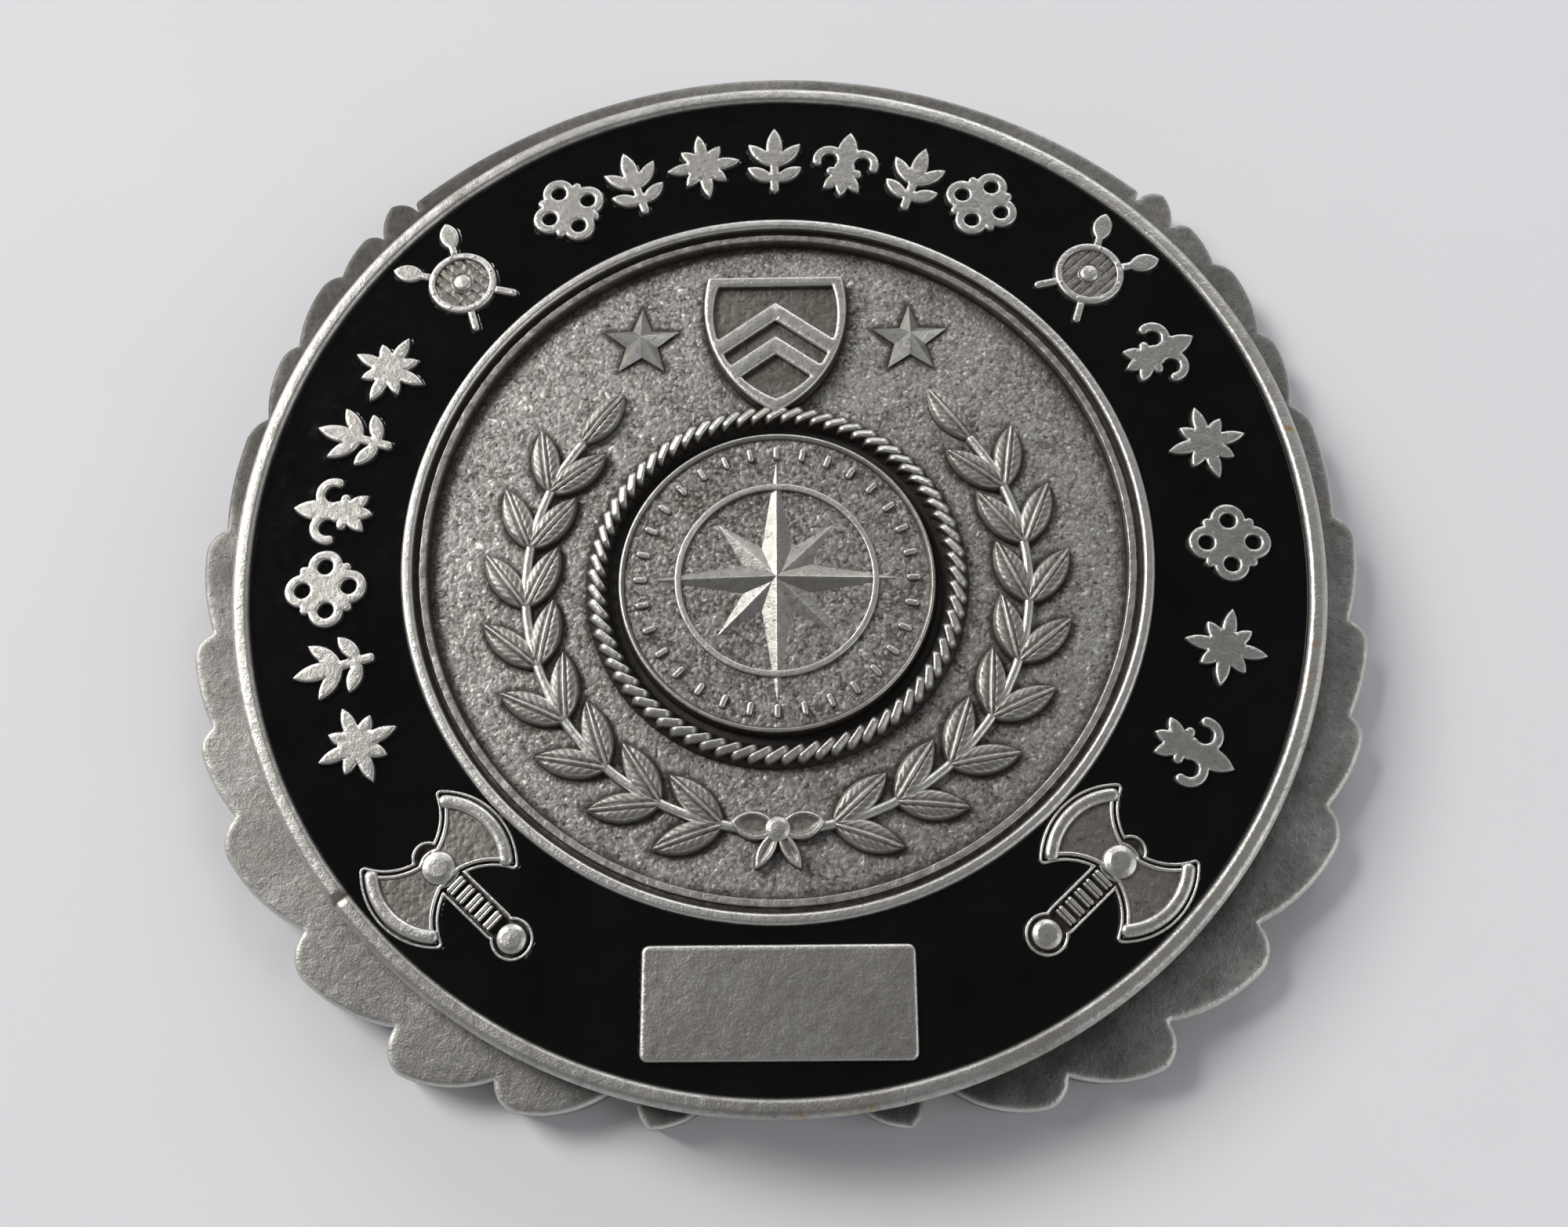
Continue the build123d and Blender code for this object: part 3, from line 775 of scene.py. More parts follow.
def add_plate_top(plate):
    """The top with its rounded edge and faint casting unevenness, and the wall below it."""
    loose = [circle(SEAT_WALL_R, LOOP_STEPS)]
    for deep in EDGE_RINGS:
        inside = outline + inward * deep
        loose.append(inside[np.abs(-plate_shape(*inside.T) - deep) < 0.15 * deep])
    for radius in TOP_LOOPS:
        points = circle(radius, LOOP_STEPS)
        loose.append(points[plate_shape(*points.T) < -0.5])
    count = len(outline)
    edges = loop_edges(0, count) + loop_edges(count, len(loose[0]))
    flat, faces, home = triangulated(
        np.vstack([outline, *loose]),
        edges,
        lambda x, y: (plate_shape(x, y) < 1e-5) & (np.hypot(x, y) > SEAT_WALL_R - 0.01),
    )
    x, y = flat.T
    deep = np.maximum(-plate_shape(x, y), 0)
    z = rounded(deep, PLATE_TOP, PLATE_EDGE)
    z = z + 0.012 * value_noise(x, y, 1.1, 5) * share_of(deep, 0, PLATE_EDGE)
    rows = []
    for level, inset, value in PLATE_WALL:
        rows.append((np.column_stack([outline + inward * inset, np.full(count, level)]), value))
    top, back_round = np.column_stack([flat, z]), np.array(loop_edges(0, count))[:, ::-1]
    plate.add(*walled(top, faces, plate_wear(x, y, deep), home[:count], back_round, rows))


def on_back(x, y, from_edge, from_ring, from_rivet):
    """True on the flat of the back, so far from its edge, its engraved ring and its rivets."""
    flat = plate_shape(x, y) < -from_edge
    flat &= np.abs(np.hypot(x, y) - BACK_R) > BACK_W / 2 + from_ring
    for rivet_x, rivet_y in RIVETS:
        flat &= np.hypot(x - rivet_x, y - rivet_y) > from_rivet
    return flat


def add_plate_back(plate):
    """Slightly uneven back with its engraved ring and the counterbores of the rivets."""
    loops = [outline + inward * CHAMFER]
    loops += [circle(radius, GROOVE_STEPS) for radius in (BACK_OUT + BACK_LIP, BACK_IN - BACK_LIP)]
    loops += [circle(BORE_R + BORE_LIP, RIVET_STEPS, *place) for place in RIVETS]
    edges, start = [], 0
    for loop in loops:
        edges += loop_edges(start, len(loop))
        start += len(loop)
    grid = staggered((-29, -29, 29, 29), 0.4)
    grid = grid[on_back(*grid.T, from_edge=0.45, from_ring=0.15, from_rivet=2.1)]
    flat, faces, _ = triangulated(
        np.vstack([*loops, grid]),
        edges,
        lambda x, y: on_back(x, y, from_edge=0.2, from_ring=0.055, from_rivet=1.97),
        facing=-1,
    )
    x, y = flat.T
    lift = share_of(-plate_shape(x, y), 0.3, 1.0)
    lift *= share_of(np.abs(np.hypot(x, y) - BACK_R), 0.4, 0.5)
    uneven = 0.012 * (1 + value_noise(x, y, 2.3, 9)) * lift
    plate.add(np.column_stack([flat, uneven]), faces, 0.6 + 0.1 * value_noise(x, y, 3.0, 8))
    plate.add_turned(GROOVE, GROOVE_STEPS)
    for place in RIVETS:
        plate.add_turned(BORE, RIVET_STEPS, place)


def wing_plate():
    plate = Bundle()
    add_plate_top(plate)
    add_plate_back(plate)
    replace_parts(plate.build("wing_plate_casting", satin, "satin_silver"), "wing_plate")


def rivets():
    for index, place in enumerate(RIVETS):
        head = lathe(filleted(RIVET_HEAD), RIVET_STEPS, place)
        piece = make_piece(f"rivet_head_{index + 1}", *head, steel, "rivet_steel")
        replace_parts(piece, f"rivet_{index + 1}")


wing_plate()
rivets()

# ---- medallion body ----
NICK_ANGLE, NICK_WIDTH, NICK_DEPTH = 229.5, 0.0045, 0.16
BODY_STEPS = 720
# from the seat up the outer wall, over the rim, through the trough, over the double ring
BODY = (
    (25.0, 1.7, 0, 0.1),
    (25.25, 1.7, 0.05, 0.1),
    (MEDAL_R, 1.9, 0.1, 0.15),
    (MEDAL_R, 2.6, 0.3, 0.45),
    (MEDAL_R, RIM_TOP, 0.36, 1.0),
    (TROUGH_R, RIM_TOP, 0.24, 0.95),
    (TROUGH_R, 4.55, 0.05, 0.35),
    (TROUGH_R, TROUGH_Z, 0.05, 0.1),
    (RING_R, TROUGH_Z, 0.05, 0.1),
    (RING_R, FIGURE_Z, 0.2, 1.0),
    (RING_IN_R, FIGURE_Z, 0.17, 0.95),
    (RING_IN_R - 0.04, DISC_Z, 0.05, 0.08),
    (STEP_R + 0.02, DISC_Z, 0.05, 0.08),
    (STEP_R, 4.7, 0.06, 0.55),
    (FIELD_R + 0.02, 4.69, 0.06, 0.5),
    (FIELD_R - 0.02, 4.3, 0.04, 0.15),
    (FIELD_R - 0.05, 3.9, 0, 0.0),
)


def denser(profile, gap=0.25):
    """The profile with more points on the parts that `rim_life` shapes."""
    dense = [profile[0]]
    for before, after in zip(profile[:-1], profile[1:]):
        shaped = before[1] > 4.35 or before[0] > 25.2
        parts = int(np.hypot(*(after[:2] - before[:2])) // gap) + 1 if shaped else 1
        dense += [before + (after - before) * k / parts for k in range(1, parts + 1)]
    return np.array(dense)


def rim_life(r, z, wear, theta):
    """Soft waves and one nick on the struck rim, a rough inner ring, randomly uneven worn metal, and painted
    shade: the rim's crest painted darker towards the bottom, the left and a little at the top, the inner ring
    painted lighter towards the lower right.
    """
    north, east = np.cos(theta), np.sin(theta)
    wave = value_noise(theta * 12.0, 0 * theta, 1.0, 11) + 0.5 * value_noise(theta * 40.0, 0 * theta, 1.0, 12)
    high = share_of(z, 4.3, 0.5) * (r > 20)
    z = z - 0.012 * high * (1 + wave)
    nick = hump(theta - np.radians(NICK_ANGLE), NICK_WIDTH) * high
    z = z - NICK_DEPTH * nick
    # The nick is darker; painted shade makes the rim's crest darker towards the bottom, a little at the top
    # and towards the left.
    wear = wear - 0.5 * nick - 0.2 * high * np.clip(-north, 0, 1) - 0.08 * high * np.clip(north, 0, 1)
    wear = wear - 0.12 * high * np.clip(-east, 0, 1)
    rough = value_noise(theta * 60, r * 4, 0.9, 13) + value_noise(theta * 150, r * 9, 0.9, 14)
    inner = ((r > 16.3) & (r < 16.8) & (z > 4.4)) * 1.0
    # Painted light: the inner ring lighter towards the lower right.
    painted_light_low_right = np.clip(0.5 + 0.35 * (east - north), 0, 1) * inner
    wear = wear + 0.1 * rough * inner + 0.06 * wave * high + 0.28 * painted_light_low_right
    return r, z + 0.014 * rough * inner, wear


def medallion_body():
    body = lathe(denser(filleted(BODY, steps=8)), BODY_STEPS, shape=rim_life)
    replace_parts(make_piece("medallion_body", *body, antique, "antique_silver"), "medallion")


medallion_body()

# ---- pebbled grounds ----
SHIELD_Y, SHIELD_W, SHIELD_H, BORDER = 10.5, 6.6, 7.4, 0.5
STAR_X, STAR_Y, STAR_TIP, STAR_WAIST = 6.6, 11.0, 1.9, 0.8
WREATH_START, WREATH_END, PAIRS, FIRST_LEAF = 184, 307, 8, 0.55
LEAF_L, LEAF_W, SPLAY = 3.3, 1.3, 31
LEAF_PITCH = (WREATH_END - WREATH_START) / (PAIRS + FIRST_LEAF)
PEBBLE_DEPTH = 0.048
FIELD_HALF, FIELD_STEP, EMBLEM_GAP_R = 16.6, 0.062, 8.2
DISC_HALF, DISC_STEP = 7.3, 0.058


def shield_outline(inset):
    half_width = SHIELD_W / 2 - inset
    top = SHIELD_H / 2 - inset
    foot = (0.0, -SHIELD_H / 2 + 1.5 * inset)
    cheek = (half_width * 0.86, -0.75)
    right = three_point_arc((half_width, top), cheek, foot, 0.06) + [foot]
    left = [(-px, py) for px, py in right[:-1]][::-1]
    row = line_points((-half_width, top), (half_width, top), 0.1)[1:]
    return placed(polygon(np.array(right + left + row)), 0.0, SHIELD_Y)


def star_outline(x, y):
    corners = []
    for index in range(5):
        corners += [clock(STAR_TIP, 72 * index), clock(STAR_WAIST, 72 * index + 36)]
    return placed(polygon(np.array(corners)), x, y)


def leaf_places():
    """Place, turn and random value of each leaf of the left branch, in pairs from the bow."""
    for index in range(PAIRS):
        angle = WREATH_START + LEAF_PITCH * (index + FIRST_LEAF)
        x, y = clock(WREATH_R, angle)
        for way in (-1, 1):
            yield x, y + EMBLEM_Y, -90 + way * SPLAY - angle, hashed(index, way, 6)


def standing_on_field():
    """Outlines of shield, leaves and stars with the boxes they lie in."""
    shapes = [(star_outline(x, STAR_Y), around(x, STAR_Y, 2)) for x in (-STAR_X, STAR_X)]
    shapes.append((shield_outline(0.0), (-3.4, 6.7, 3.4, 14.3)))
    for x, y, turn, _ in leaf_places():
        for side in (1, -1):
            blade = lens(side * x, y, LEAF_L, LEAF_W, side * turn)
            shapes.append((blade, around(side * x, y, LEAF_L)))
    return shapes


def pebble(x, y):
    """Height and wear of the struck pebbles."""
    bent_x = x + 0.12 * value_noise(x, y, 0.45, 51)
    bent_y = y + 0.12 * value_noise(x, y, 0.45, 52)
    coarse, own = grains(bent_x, bent_y, 0.18, 21)
    fine, other = grains(bent_x + 0.3 * bent_y, bent_y - 0.2 * bent_x, 0.125, 31)
    swell = value_noise(x, y, 1.3, 41)
    height = 0.5 * coarse * (0.55 + 0.65 * own) + 0.42 * fine * (0.5 + 0.7 * other) + 0.08 * swell
    middle = height.mean()
    wear = 0.48 + 0.75 * (height - middle) + 0.06 * (own - 0.5)
    wear += 0.3 * (other > 0.93) * (fine > 0.4)
    return (height - middle) * PEBBLE_DEPTH, np.clip(wear, 0, 1)


def square_grid(half, step):
    return np.meshgrid(np.arange(-half, half, step), np.arange(-half, half, step))


def field_grounds():
    """The sunken field in two pieces, dark at its edge, round the emblem and beside all that stands on it:
    patina in those corners and painted shade.
    """
    x, y = square_grid(FIELD_HALF, FIELD_STEP)
    lift, wear = pebble(x, y)
    far, far_emblem = np.hypot(x, y), np.hypot(x, y - EMBLEM_Y)
    apart = nearest(np.full(x.shape, 9.0), x, y, standing_on_field(), 0.5)
    # Patina and painted shade: darker near the field's edge, round the emblem and close to the shield, stars
    # and leaves.
    wear = wear * (0.25 + 0.75 * share_of(FIELD_R - far, 0, 0.5))
    wear = wear * (0.2 + 0.8 * share_of(far_emblem, 8.75, 0.5))
    wear = wear * (0.12 + 0.88 * share_of(apart, 0.02, 0.34))
    z = FIELD_Z + (lift - 0.04 * hump(apart, 0.25))
    keep = (far < FIELD_R + 0.1) & (far_emblem > EMBLEM_GAP_R)
    half = x.shape[1] // 2
    for name, part in (("left", np.s_[:, : half + 1]), ("right", np.s_[:, half:])):
        sheet = grid_sheet(*(grid[part] for grid in (x, y, z, wear, keep)))
        make_piece(f"field_ground_{name}", *sheet, pebbled, "antique_silver")


def disc_ground():
    x, y = square_grid(DISC_HALF, DISC_STEP)
    lift, wear = pebble(x + 50, y)
    sheet = grid_sheet(x, y + EMBLEM_Y, DISC_Z + lift, wear - 0.1, np.hypot(x, y) < DISC_R - 0.12)
    make_piece("disc_ground", *sheet, pebbled, "antique_silver")


field_grounds()
disc_ground()

# ---- rope ring and disc wall ----
MOAT = (
    (9.0, 3.95, 0, 0.0),
    (8.9, 4.25, 0.1, 0.06),
    (8.72, 4.42, 0.12, 0.02),
    (8.1, 4.42, 0.12, 0.02),
    (7.93, 4.2, 0.1, 0.05),
    (7.8, 4.05, 0.08, 0.0),
    (7.5, 4.05, 0.08, 0.0),
    (7.38, 4.4, 0.1, 0.25),
    (7.34, 4.72, 0.12, 0.85),
    (7.2, 4.72, 0.07, 0.7),
    (7.1, 4.6, 0.05, 0.45),
    (7.02, 4.4, 0, 0.3),
)
STRANDS, STRAND_L, STRAND_W, SLANT = 72, 1.4, 0.46, 38
ROPE_FOOT_Z, ROPE_LOW_Z, ROPE_ARCH = 4.1, 4.3, 0.6
# places across one strand and how far its skin has fallen there: it leans to one side
ACROSS = np.array([-1.0, -1.0, -0.9, -0.72, -0.45, 0.0, 0.45, 0.72, 0.9, 1.0, 1.0])
DROP = np.array([0.5, 0.24, 0.18, 0.12, 0.07, 0.03, 0.0, 0.01, 0.06, 0.16, 0.5])


def strand(index):
    """Verts, faces and wear of one slanted strand of the rope ring."""
    along = np.linspace(-1, 1, 17)
    jitter = hashed(index, 3, 5) - 0.5
    arch = np.sqrt(np.clip(1 - share_of(np.abs(along), 0.42, 0.58) ** 2, 0, 1))
    half = STRAND_W / 2 * (0.72 + 0.28 * arch) * (1 + 0.12 * jitter)
    u = half[:, None] * ACROSS + 0.05 * np.sin(along * 2.2)[:, None]
    v = np.repeat(along[:, None] * STRAND_L / 2, len(ACROSS), 1)
    crest = ROPE_LOW_Z + ROPE_ARCH * arch + 0.012 * jitter
    z = crest[:, None] - DROP * (0.5 + 0.5 * arch[:, None])
    z[:, [0, -1]] = ROPE_FOOT_Z
    wear = np.clip(1.0 - 4.0 * DROP - 1.0 * (1 - arch[:, None]), 0.05, 1)
    wear[:, [0, -1]] = 0.0
    angle = 360 / STRANDS * index
    cx, cy = clock(ROPE_R, angle)
    turn = np.radians(SLANT - 90 - angle)
    x = cx + u * np.cos(turn) - v * np.sin(turn)
    y = cy + EMBLEM_Y + u * np.sin(turn) + v * np.cos(turn)
    return grid_sheet(x, y, z, wear, np.full(x.shape, True))


def rope_ring():
    rope = Bundle()
    rope.add_turned(MOAT, 600, (0.0, EMBLEM_Y))
    for index in range(STRANDS):
        rope.add(*strand(index))
    rope.build("rope_ring", antique, "antique_silver")


rope_ring()

# ---- wind rose ----
TICKS, TICK_R, TICK_L, TICK_W = 32, 6.35, 0.66, 0.28
TICK_FOOT_Z, TICK_TOP_Z = 4.4, 4.71
ROSE_TIP, ROSE_SHORT_TIP, ROSE_WAIST = 5.9, 3.9, 1.15
COMPASS = ((4.78, 4.4, 0, 0.1), (4.74, 4.7, 0.07, 1.0), (4.46, 4.7, 0.07, 1.0), (4.42, 4.4, 0, 0.1))


def facet_star(bundle, points, tip, waist, base_z, height, x, y, turn, shine, split=8):
    """Ridged star: every point two facets, each cut into small triangles."""
    for index in range(points * 2):
        angle = 180 / points * index + turn
        radii = (waist, tip) if index % 2 else (tip, waist)
        first, second = clock(radii[0], angle), clock(radii[1], angle + 180 / points)
        corners = np.array([[0, 0, base_z + height], [*first, base_z], [*second, base_z]])
        verts, ids, wear, faces = [], {}, [], []
        for i in range(split + 1):
            for j in range(split + 1 - i):
                ids[i, j] = len(verts)
                share = np.array([split - i - j, i, j]) / split
                verts.append(share @ corners + np.array([x, y, 0]))
                off_ridge = share[1] if index % 2 else share[2]
                # Ridges lighter than the facets: worn ridges and a painted ridge highlight.
                wear.append(shine - 0.1 * off_ridge - 0.12 * (off_ridge > 0.01))
        for i in range(split):
            for j in range(split - i):
                faces.append([ids[i, j], ids[i, j + 1], ids[i + 1, j]])
                if i + j < split - 1:
                    faces.append([ids[i + 1, j], ids[i, j + 1], ids[i + 1, j + 1]])
        bundle.add(verts, faces, wear)


def faceted_stars():
    """The wind rose of eight points and the two small stars beside the shield."""
    stars = Bundle()
    rose = {"points": 4, "waist": ROSE_WAIST, "base_z": DISC_Z, "x": 0.0, "y": EMBLEM_Y}
    facet_star(stars, tip=ROSE_TIP, height=0.45, turn=0, shine=0.76, **rose)
    facet_star(stars, tip=ROSE_SHORT_TIP, height=0.36, turn=45, shine=0.74, **rose)
    small = {"points": 5, "tip": STAR_TIP, "waist": STAR_WAIST, "base_z": FIELD_Z + 0.06}
    for x in (-STAR_X, STAR_X):
        # The small stars get a higher value than the rose: painted light, so that they stand out on the
        # bright field.
        facet_star(stars, height=0.74, x=x, y=STAR_Y, turn=0, shine=1.12, **small)
    stars.build("faceted_stars", antique, "antique_silver", flat=True)


def compass_lines():
    thin = Bundle()
    thin.add_turned(COMPASS, 360, (0.0, EMBLEM_Y))
    for index in range(TICKS):
        angle = 360 / TICKS * index
        x, y = clock(TICK_R, angle)
        y = y + EMBLEM_Y
        tick, box = bar(x, y, TICK_L, TICK_W, -angle), around(x, y, 0.6)
        relief(thin, tick, box, TICK_FOOT_Z, TICK_TOP_Z, 0.08, step=0.06, draft=0.15, inner=0.1)
    thin.build("compass_lines", antique, "antique_silver")


faceted_stars()
compass_lines()

# ---- laurel wreath ----
LEAF_ROWS, LEAF_COLUMNS, LEAF_FOOT_Z = 37, 19, FIELD_Z - SUNK
STEM_W, STEM_TOP_Z = 0.45, FIELD_Z + 0.42
BOW_Y = EMBLEM_Y - WREATH_R
LOOP_L, LOOP_W, LOOP_TURN = 2.1, 1.25, 80
TAIL_L, TAIL_W, TAIL_TURN = 2.0, 0.7, 30
RIBBON_TOP_Z, RIBBON_EDGE = 4.68, 0.12
KNOT = ((0.0, 4.86, 0, 0.8), (0.34, 4.84, 0.2, 0.9), (0.56, 4.7, 0.12, 1.0), (0.64, 3.95, 0, 0.0))


def leaf_top(salt):
    """Grids of u, v, z and wear over one blade, with its midrib, valleys and side veins."""
    share = np.linspace(0.0, 1.0, LEAF_ROWS)[:, None]
    cross = np.linspace(-1.0, 1.0, LEAF_COLUMNS)[None]
    shift = lens_shift(LEAF_L, LEAF_W)
    half = np.sqrt(np.maximum(shift**2 + LEAF_L**2 / 4 - (share * LEAF_L - LEAF_L / 2) ** 2, 0)) - shift
    half = np.maximum(half, 0.01)
    u, v = half * cross, np.repeat(share * LEAF_L, LEAF_COLUMNS, 1)
    body = 1 - (1 - share_of(np.minimum(half * (1 - np.abs(cross)), 0.12), 0, 0.12)) ** 2
    swell = 0.10 * np.sin(np.pi * share) * (1 - cross**2)
    rib = 0.075 * hump(u, 0.055) * np.clip(share * 8, 0, 1)
    valley = -0.05 * hump(np.abs(u) - 0.13, 0.06)
    veins = 0.018 * np.sin((v - np.abs(u) * 1.3) * 2 * np.pi / 0.38)
    veins = veins * np.clip(np.abs(u) / 0.15 - 0.6, 0, 1) * body
    z = FIELD_Z + 0.28 + 0.17 * body + swell + rib + valley * body + veins + 0.02 * salt
    wear = 0.62 + 0.4 * (rib > 0.03) + 0.35 * (body < 0.9) - 0.35 * (valley < -0.03) * (rib < 0.03)
    return u, v, z, np.clip(wear + 8 * veins, 0.1, 1)


def add_leaf(wreath, x, y, turn, salt, mirrored):
    """One leaf standing on (x, y): its blade and the walls round it."""
    u, v, z, blade_wear = leaf_top(salt)
    top = np.column_stack([u.ravel(), v.ravel(), z.ravel()])
    ids = np.arange(u.size).reshape(u.shape)
    faces = grid_quads(ids).reshape(-1, 4).tolist()
    edge = np.concatenate([ids[:, -1], ids[::-1, 0]])
    sides = np.repeat([1.0, -1.0], LEAF_ROWS)
    rows = []
    for part, value in ((0.45, 0.35), (1.0, 0.0)):
        low = top[edge]
        low[:, 0] += sides * 0.1 * part
        low[:, 2] += (LEAF_FOOT_Z - low[:, 2]) * part
        rows.append((low, value))
    back_round = np.array(loop_edges(0, len(edge)))[:, ::-1]
    verts, faces, wear = walled(top, faces, blade_wear.ravel(), edge, back_round, rows)
    px, py = turned_into(verts[:, 0], verts[:, 1], 0.0, 0.0, -turn)
    px, py = x + px, y + py
    if mirrored:
        px, faces = -px, [face[::-1] for face in faces]
    wreath.add(np.column_stack([px, py, verts[:, 2]]), faces, wear)


def add_branch(wreath, mirrored):
    """Half of the laurel: leaves in pairs, one leaf at the end, and the stem."""
    x, y = clock(WREATH_R, WREATH_END)
    for place in (*leaf_places(), (x, y + EMBLEM_Y, -90 - WREATH_END, 0.5)):
        add_leaf(wreath, *place, mirrored)
    start = WREATH_START - 270 if mirrored else 90 - WREATH_END
    stem = hook(0.0, EMBLEM_Y, WREATH_R, start, WREATH_END - WREATH_START, STEM_W)
    box = (-0.5, -15, 13, 8) if mirrored else (-13, -15, 0.5, 8)
    relief(wreath, stem, box, LEAF_FOOT_Z, STEM_TOP_Z, 0.16, step=0.08, inner=0.12)


def ribbon_height(x, y, deep):
    """Ribbon with a hollow along its middle."""
    return rounded(deep, RIBBON_TOP_Z, RIBBON_EDGE) - 0.14 * share_of(deep, 0.14, 0.2)


def laurel_wreath():
    wreath = Bundle()
    for mirrored in (False, True):
        add_branch(wreath, mirrored)
    box = (-2.8, BOW_Y - 2.6, 2.8, BOW_Y + 1.6)
    for way in (-1, 1):
        loop = lens(0.0, BOW_Y, LOOP_L, LOOP_W, way * LOOP_TURN)
        tail = lens(0.0, BOW_Y, TAIL_L, TAIL_W, 180 + way * TAIL_TURN)
        for shape in (loop, tail):
            relief(wreath, shape, box, LEAF_FOOT_Z, ribbon_height, RIBBON_EDGE, inner=0.09, top_wear=0.45)
    wreath.add_turned(KNOT, 72, (0.0, BOW_Y))
    wreath.build("laurel_wreath", antique, "antique_silver")


laurel_wreath()

# ---- shield ----
CHEVRON_PEAKS, CHEVRON_FALL, CHEVRON_W = (2.3, 2.3 - 1.85), 2.4, 1.0
SHIELD_FACE_Z, SHIELD_FACE_EDGE = FIELD_Z + 0.5, 0.1
BORDER_TOP_Z, BORDER_EDGE = FIELD_Z + 0.8, 0.09


def shield_ground(x, y, deep):
    coarse, _ = grains(x + 30, y, 0.26, 81)
    uneven = 0.035 * (coarse - 0.6) * share_of(deep, 0, 0.3)
    return rounded(deep, SHIELD_FACE_Z, SHIELD_FACE_EDGE) + uneven


def border_height(x, y, deep):
    return rounded(deep, BORDER_TOP_Z, BORDER_EDGE) + 0.02 * share_of(deep, 0, 0.4)


def shield():
    """Shield with a raised border and two chevrons on a faintly grained ground."""
    bundle = Bundle()
    outer, inner = shield_outline(0.0), shield_outline(BORDER)
    box = (-3.6, SHIELD_Y - 4.0, 3.6, SHIELD_Y + 4.0)
    relief(
        bundle, outer, box, FIELD_Z - SUNK, shield_ground, SHIELD_FACE_EDGE,
        step=0.06, inner=0.08, top_wear=0.36,
    )
    arms = []
    for peak in CHEVRON_PEAKS:
        low = peak - CHEVRON_FALL
        for reach in (-SHIELD_W / 2, SHIELD_W / 2):
            corners = [(0, peak), (reach, low), (reach, low - CHEVRON_W), (0, peak - CHEVRON_W)]
            arms.append(placed(polygon(np.array(corners)), 0, SHIELD_Y))
    raised = union(without(outer, inner), within(union(*arms), grown(inner, 0.1)))
    relief(bundle, raised, box, SHIELD_FACE_Z - 0.1, border_height, BORDER_EDGE, inner=0.12)
    bundle.build("shield", antique, "antique_silver")


shield()

# ---- figures of the enamel band ----
HALF, STROKE = 1.9, 0.46
BAND_FOOT_Z = TROUGH_Z + 0.3
BAND_WALL = {"draft": 0.08, "wall_wear": (0.6, 0.3, 0.1)}
PLAQUE_Y, PLAQUE_W, PLAQUE_H, PLAQUE_CORNER = -20.7, 11.7, 4.8, 0.35
PLAQUE = block(0, PLAQUE_Y, PLAQUE_W, PLAQUE_H, PLAQUE_CORNER)


def lily():
    parts = [lens(0, -0.5, HALF + 0.5, 1.05), bar(0, -0.5, 1.8, STROKE, 90)]
    parts += [lens(0, -0.5, HALF - 0.5, 0.66, 180 + way * 40) for way in (-1, 0, 1)]
    parts += [hook(way * 0.85, 0.12, 0.62, 90 + way * 120, -way * 225, STROKE) for way in (-1, 1)]
    return union(*parts)


def sprig():
    parts = [lens(0, -0.4, HALF + 0.4, 0.85), bar(0, -HALF / 2, HALF, STROKE)]
    for way in (-1, 1):
        parts += [lens(0, -0.4, 1.9, 0.7, way * 45), lens(0, -1.25, 1.6, 0.7, way * 60)]
    return union(*parts)


def quatrefoil():
    eye = without(disc(0.82, 0, HALF - 0.82), disc(0.82 - STROKE, 0, HALF - 0.82))
    parts = [disc(STROKE)]
    for turn in range(0, 360, 90):
        parts.append(placed(eye, 0, 0, turn))
        parts.append(placed(bar(0, 0.8, 1.6, STROKE), 0, 0, turn + 45))
    return union(*parts)


def rayed_star():
    rays = [lens(0, 0, HALF - 0.45 * (index % 2), 0.66, 45 * index) for index in range(8)]
    return union(disc(STROKE), *rays)


# figures of each row in clock order, angle of the first and step to the next
ROWS = (
    ((quatrefoil, sprig, rayed_star, sprig, lily, sprig, quatrefoil), -29.7, 9.9),
    ((rayed_star, sprig, quatrefoil, lily, sprig, rayed_star), 243.5, 10.6),
    ((lily, rayed_star, quatrefoil, rayed_star, lily), 62.5, 14.0),
)


def plaque_height(x, y, deep):
    uneven = 0.012 * value_noise(x, y, 1.2, 61) + 0.006 * value_noise(x, y, 0.5, 63)
    return rounded(deep, FIGURE_Z, 0.12) + uneven * share_of(deep, 0, 0.3)


def band_figures():
    """The rows of ornaments and the blank plaque; gives their outlines and boxes."""
    figures, shapes = Bundle(), []
    for order, start, step in ROWS:
        for index, make in enumerate(order):
            angle = start + step * index
            shape, box = clock_place(make(), angle), around(*clock(BAND_R, angle), 2.4)
            shapes.append((shape, box))
            relief(figures, shape, box, BAND_FOOT_Z, FIGURE_Z, 0.09, inner=0.11, **BAND_WALL)
    box = (-6.2, -23.4, 6.2, -18.0)
    shapes.append((PLAQUE, box))
    relief(
        figures, PLAQUE, box, BAND_FOOT_Z, plaque_height, 0.12,
        step=0.06, inner=0.11, top_wear=0.64, **BAND_WALL,
    )
    figures.build("band_figures", antique, "antique_silver")
    return shapes


# ---- round shields over crossed spears ----
TARGE_ANGLE, TARGE_R, SPEAR_LEAN, STUDS, STUD_R = 47.7, 1.7, 30, 8, 1.52
SPEAR_L, SPEAR_W, POINT_AT, POINT_L, POINT_W = 5.6, 0.38, 2.0, 1.6, 0.95
FACE_R, PLANK_W, PLANK_Z = 1.4, 0.46, 4.84
TARGE_BORDER = ((1.3, 4.6, 0, 0.05), (1.35, 4.95, 0.07, 0.9), (1.68, 4.95, 0.12, 1.0), (1.75, 4.4, 0, 0.2))
TARGE_KNOB = (
    (0.0, 5.0, 0, 0.9),
    (0.36, 4.98, 0.2, 1.0),
    (0.5, 4.84, 0.05, 0.4),
    (0.55, 4.9, 0.04, 0.9),
    (0.62, 4.6, 0, 0.1),
)
STUD = ((0.0, 4.995, 0, 1.0), (0.09, 4.985, 0.05, 1.0), (0.13, 4.88, 0, 0.15))


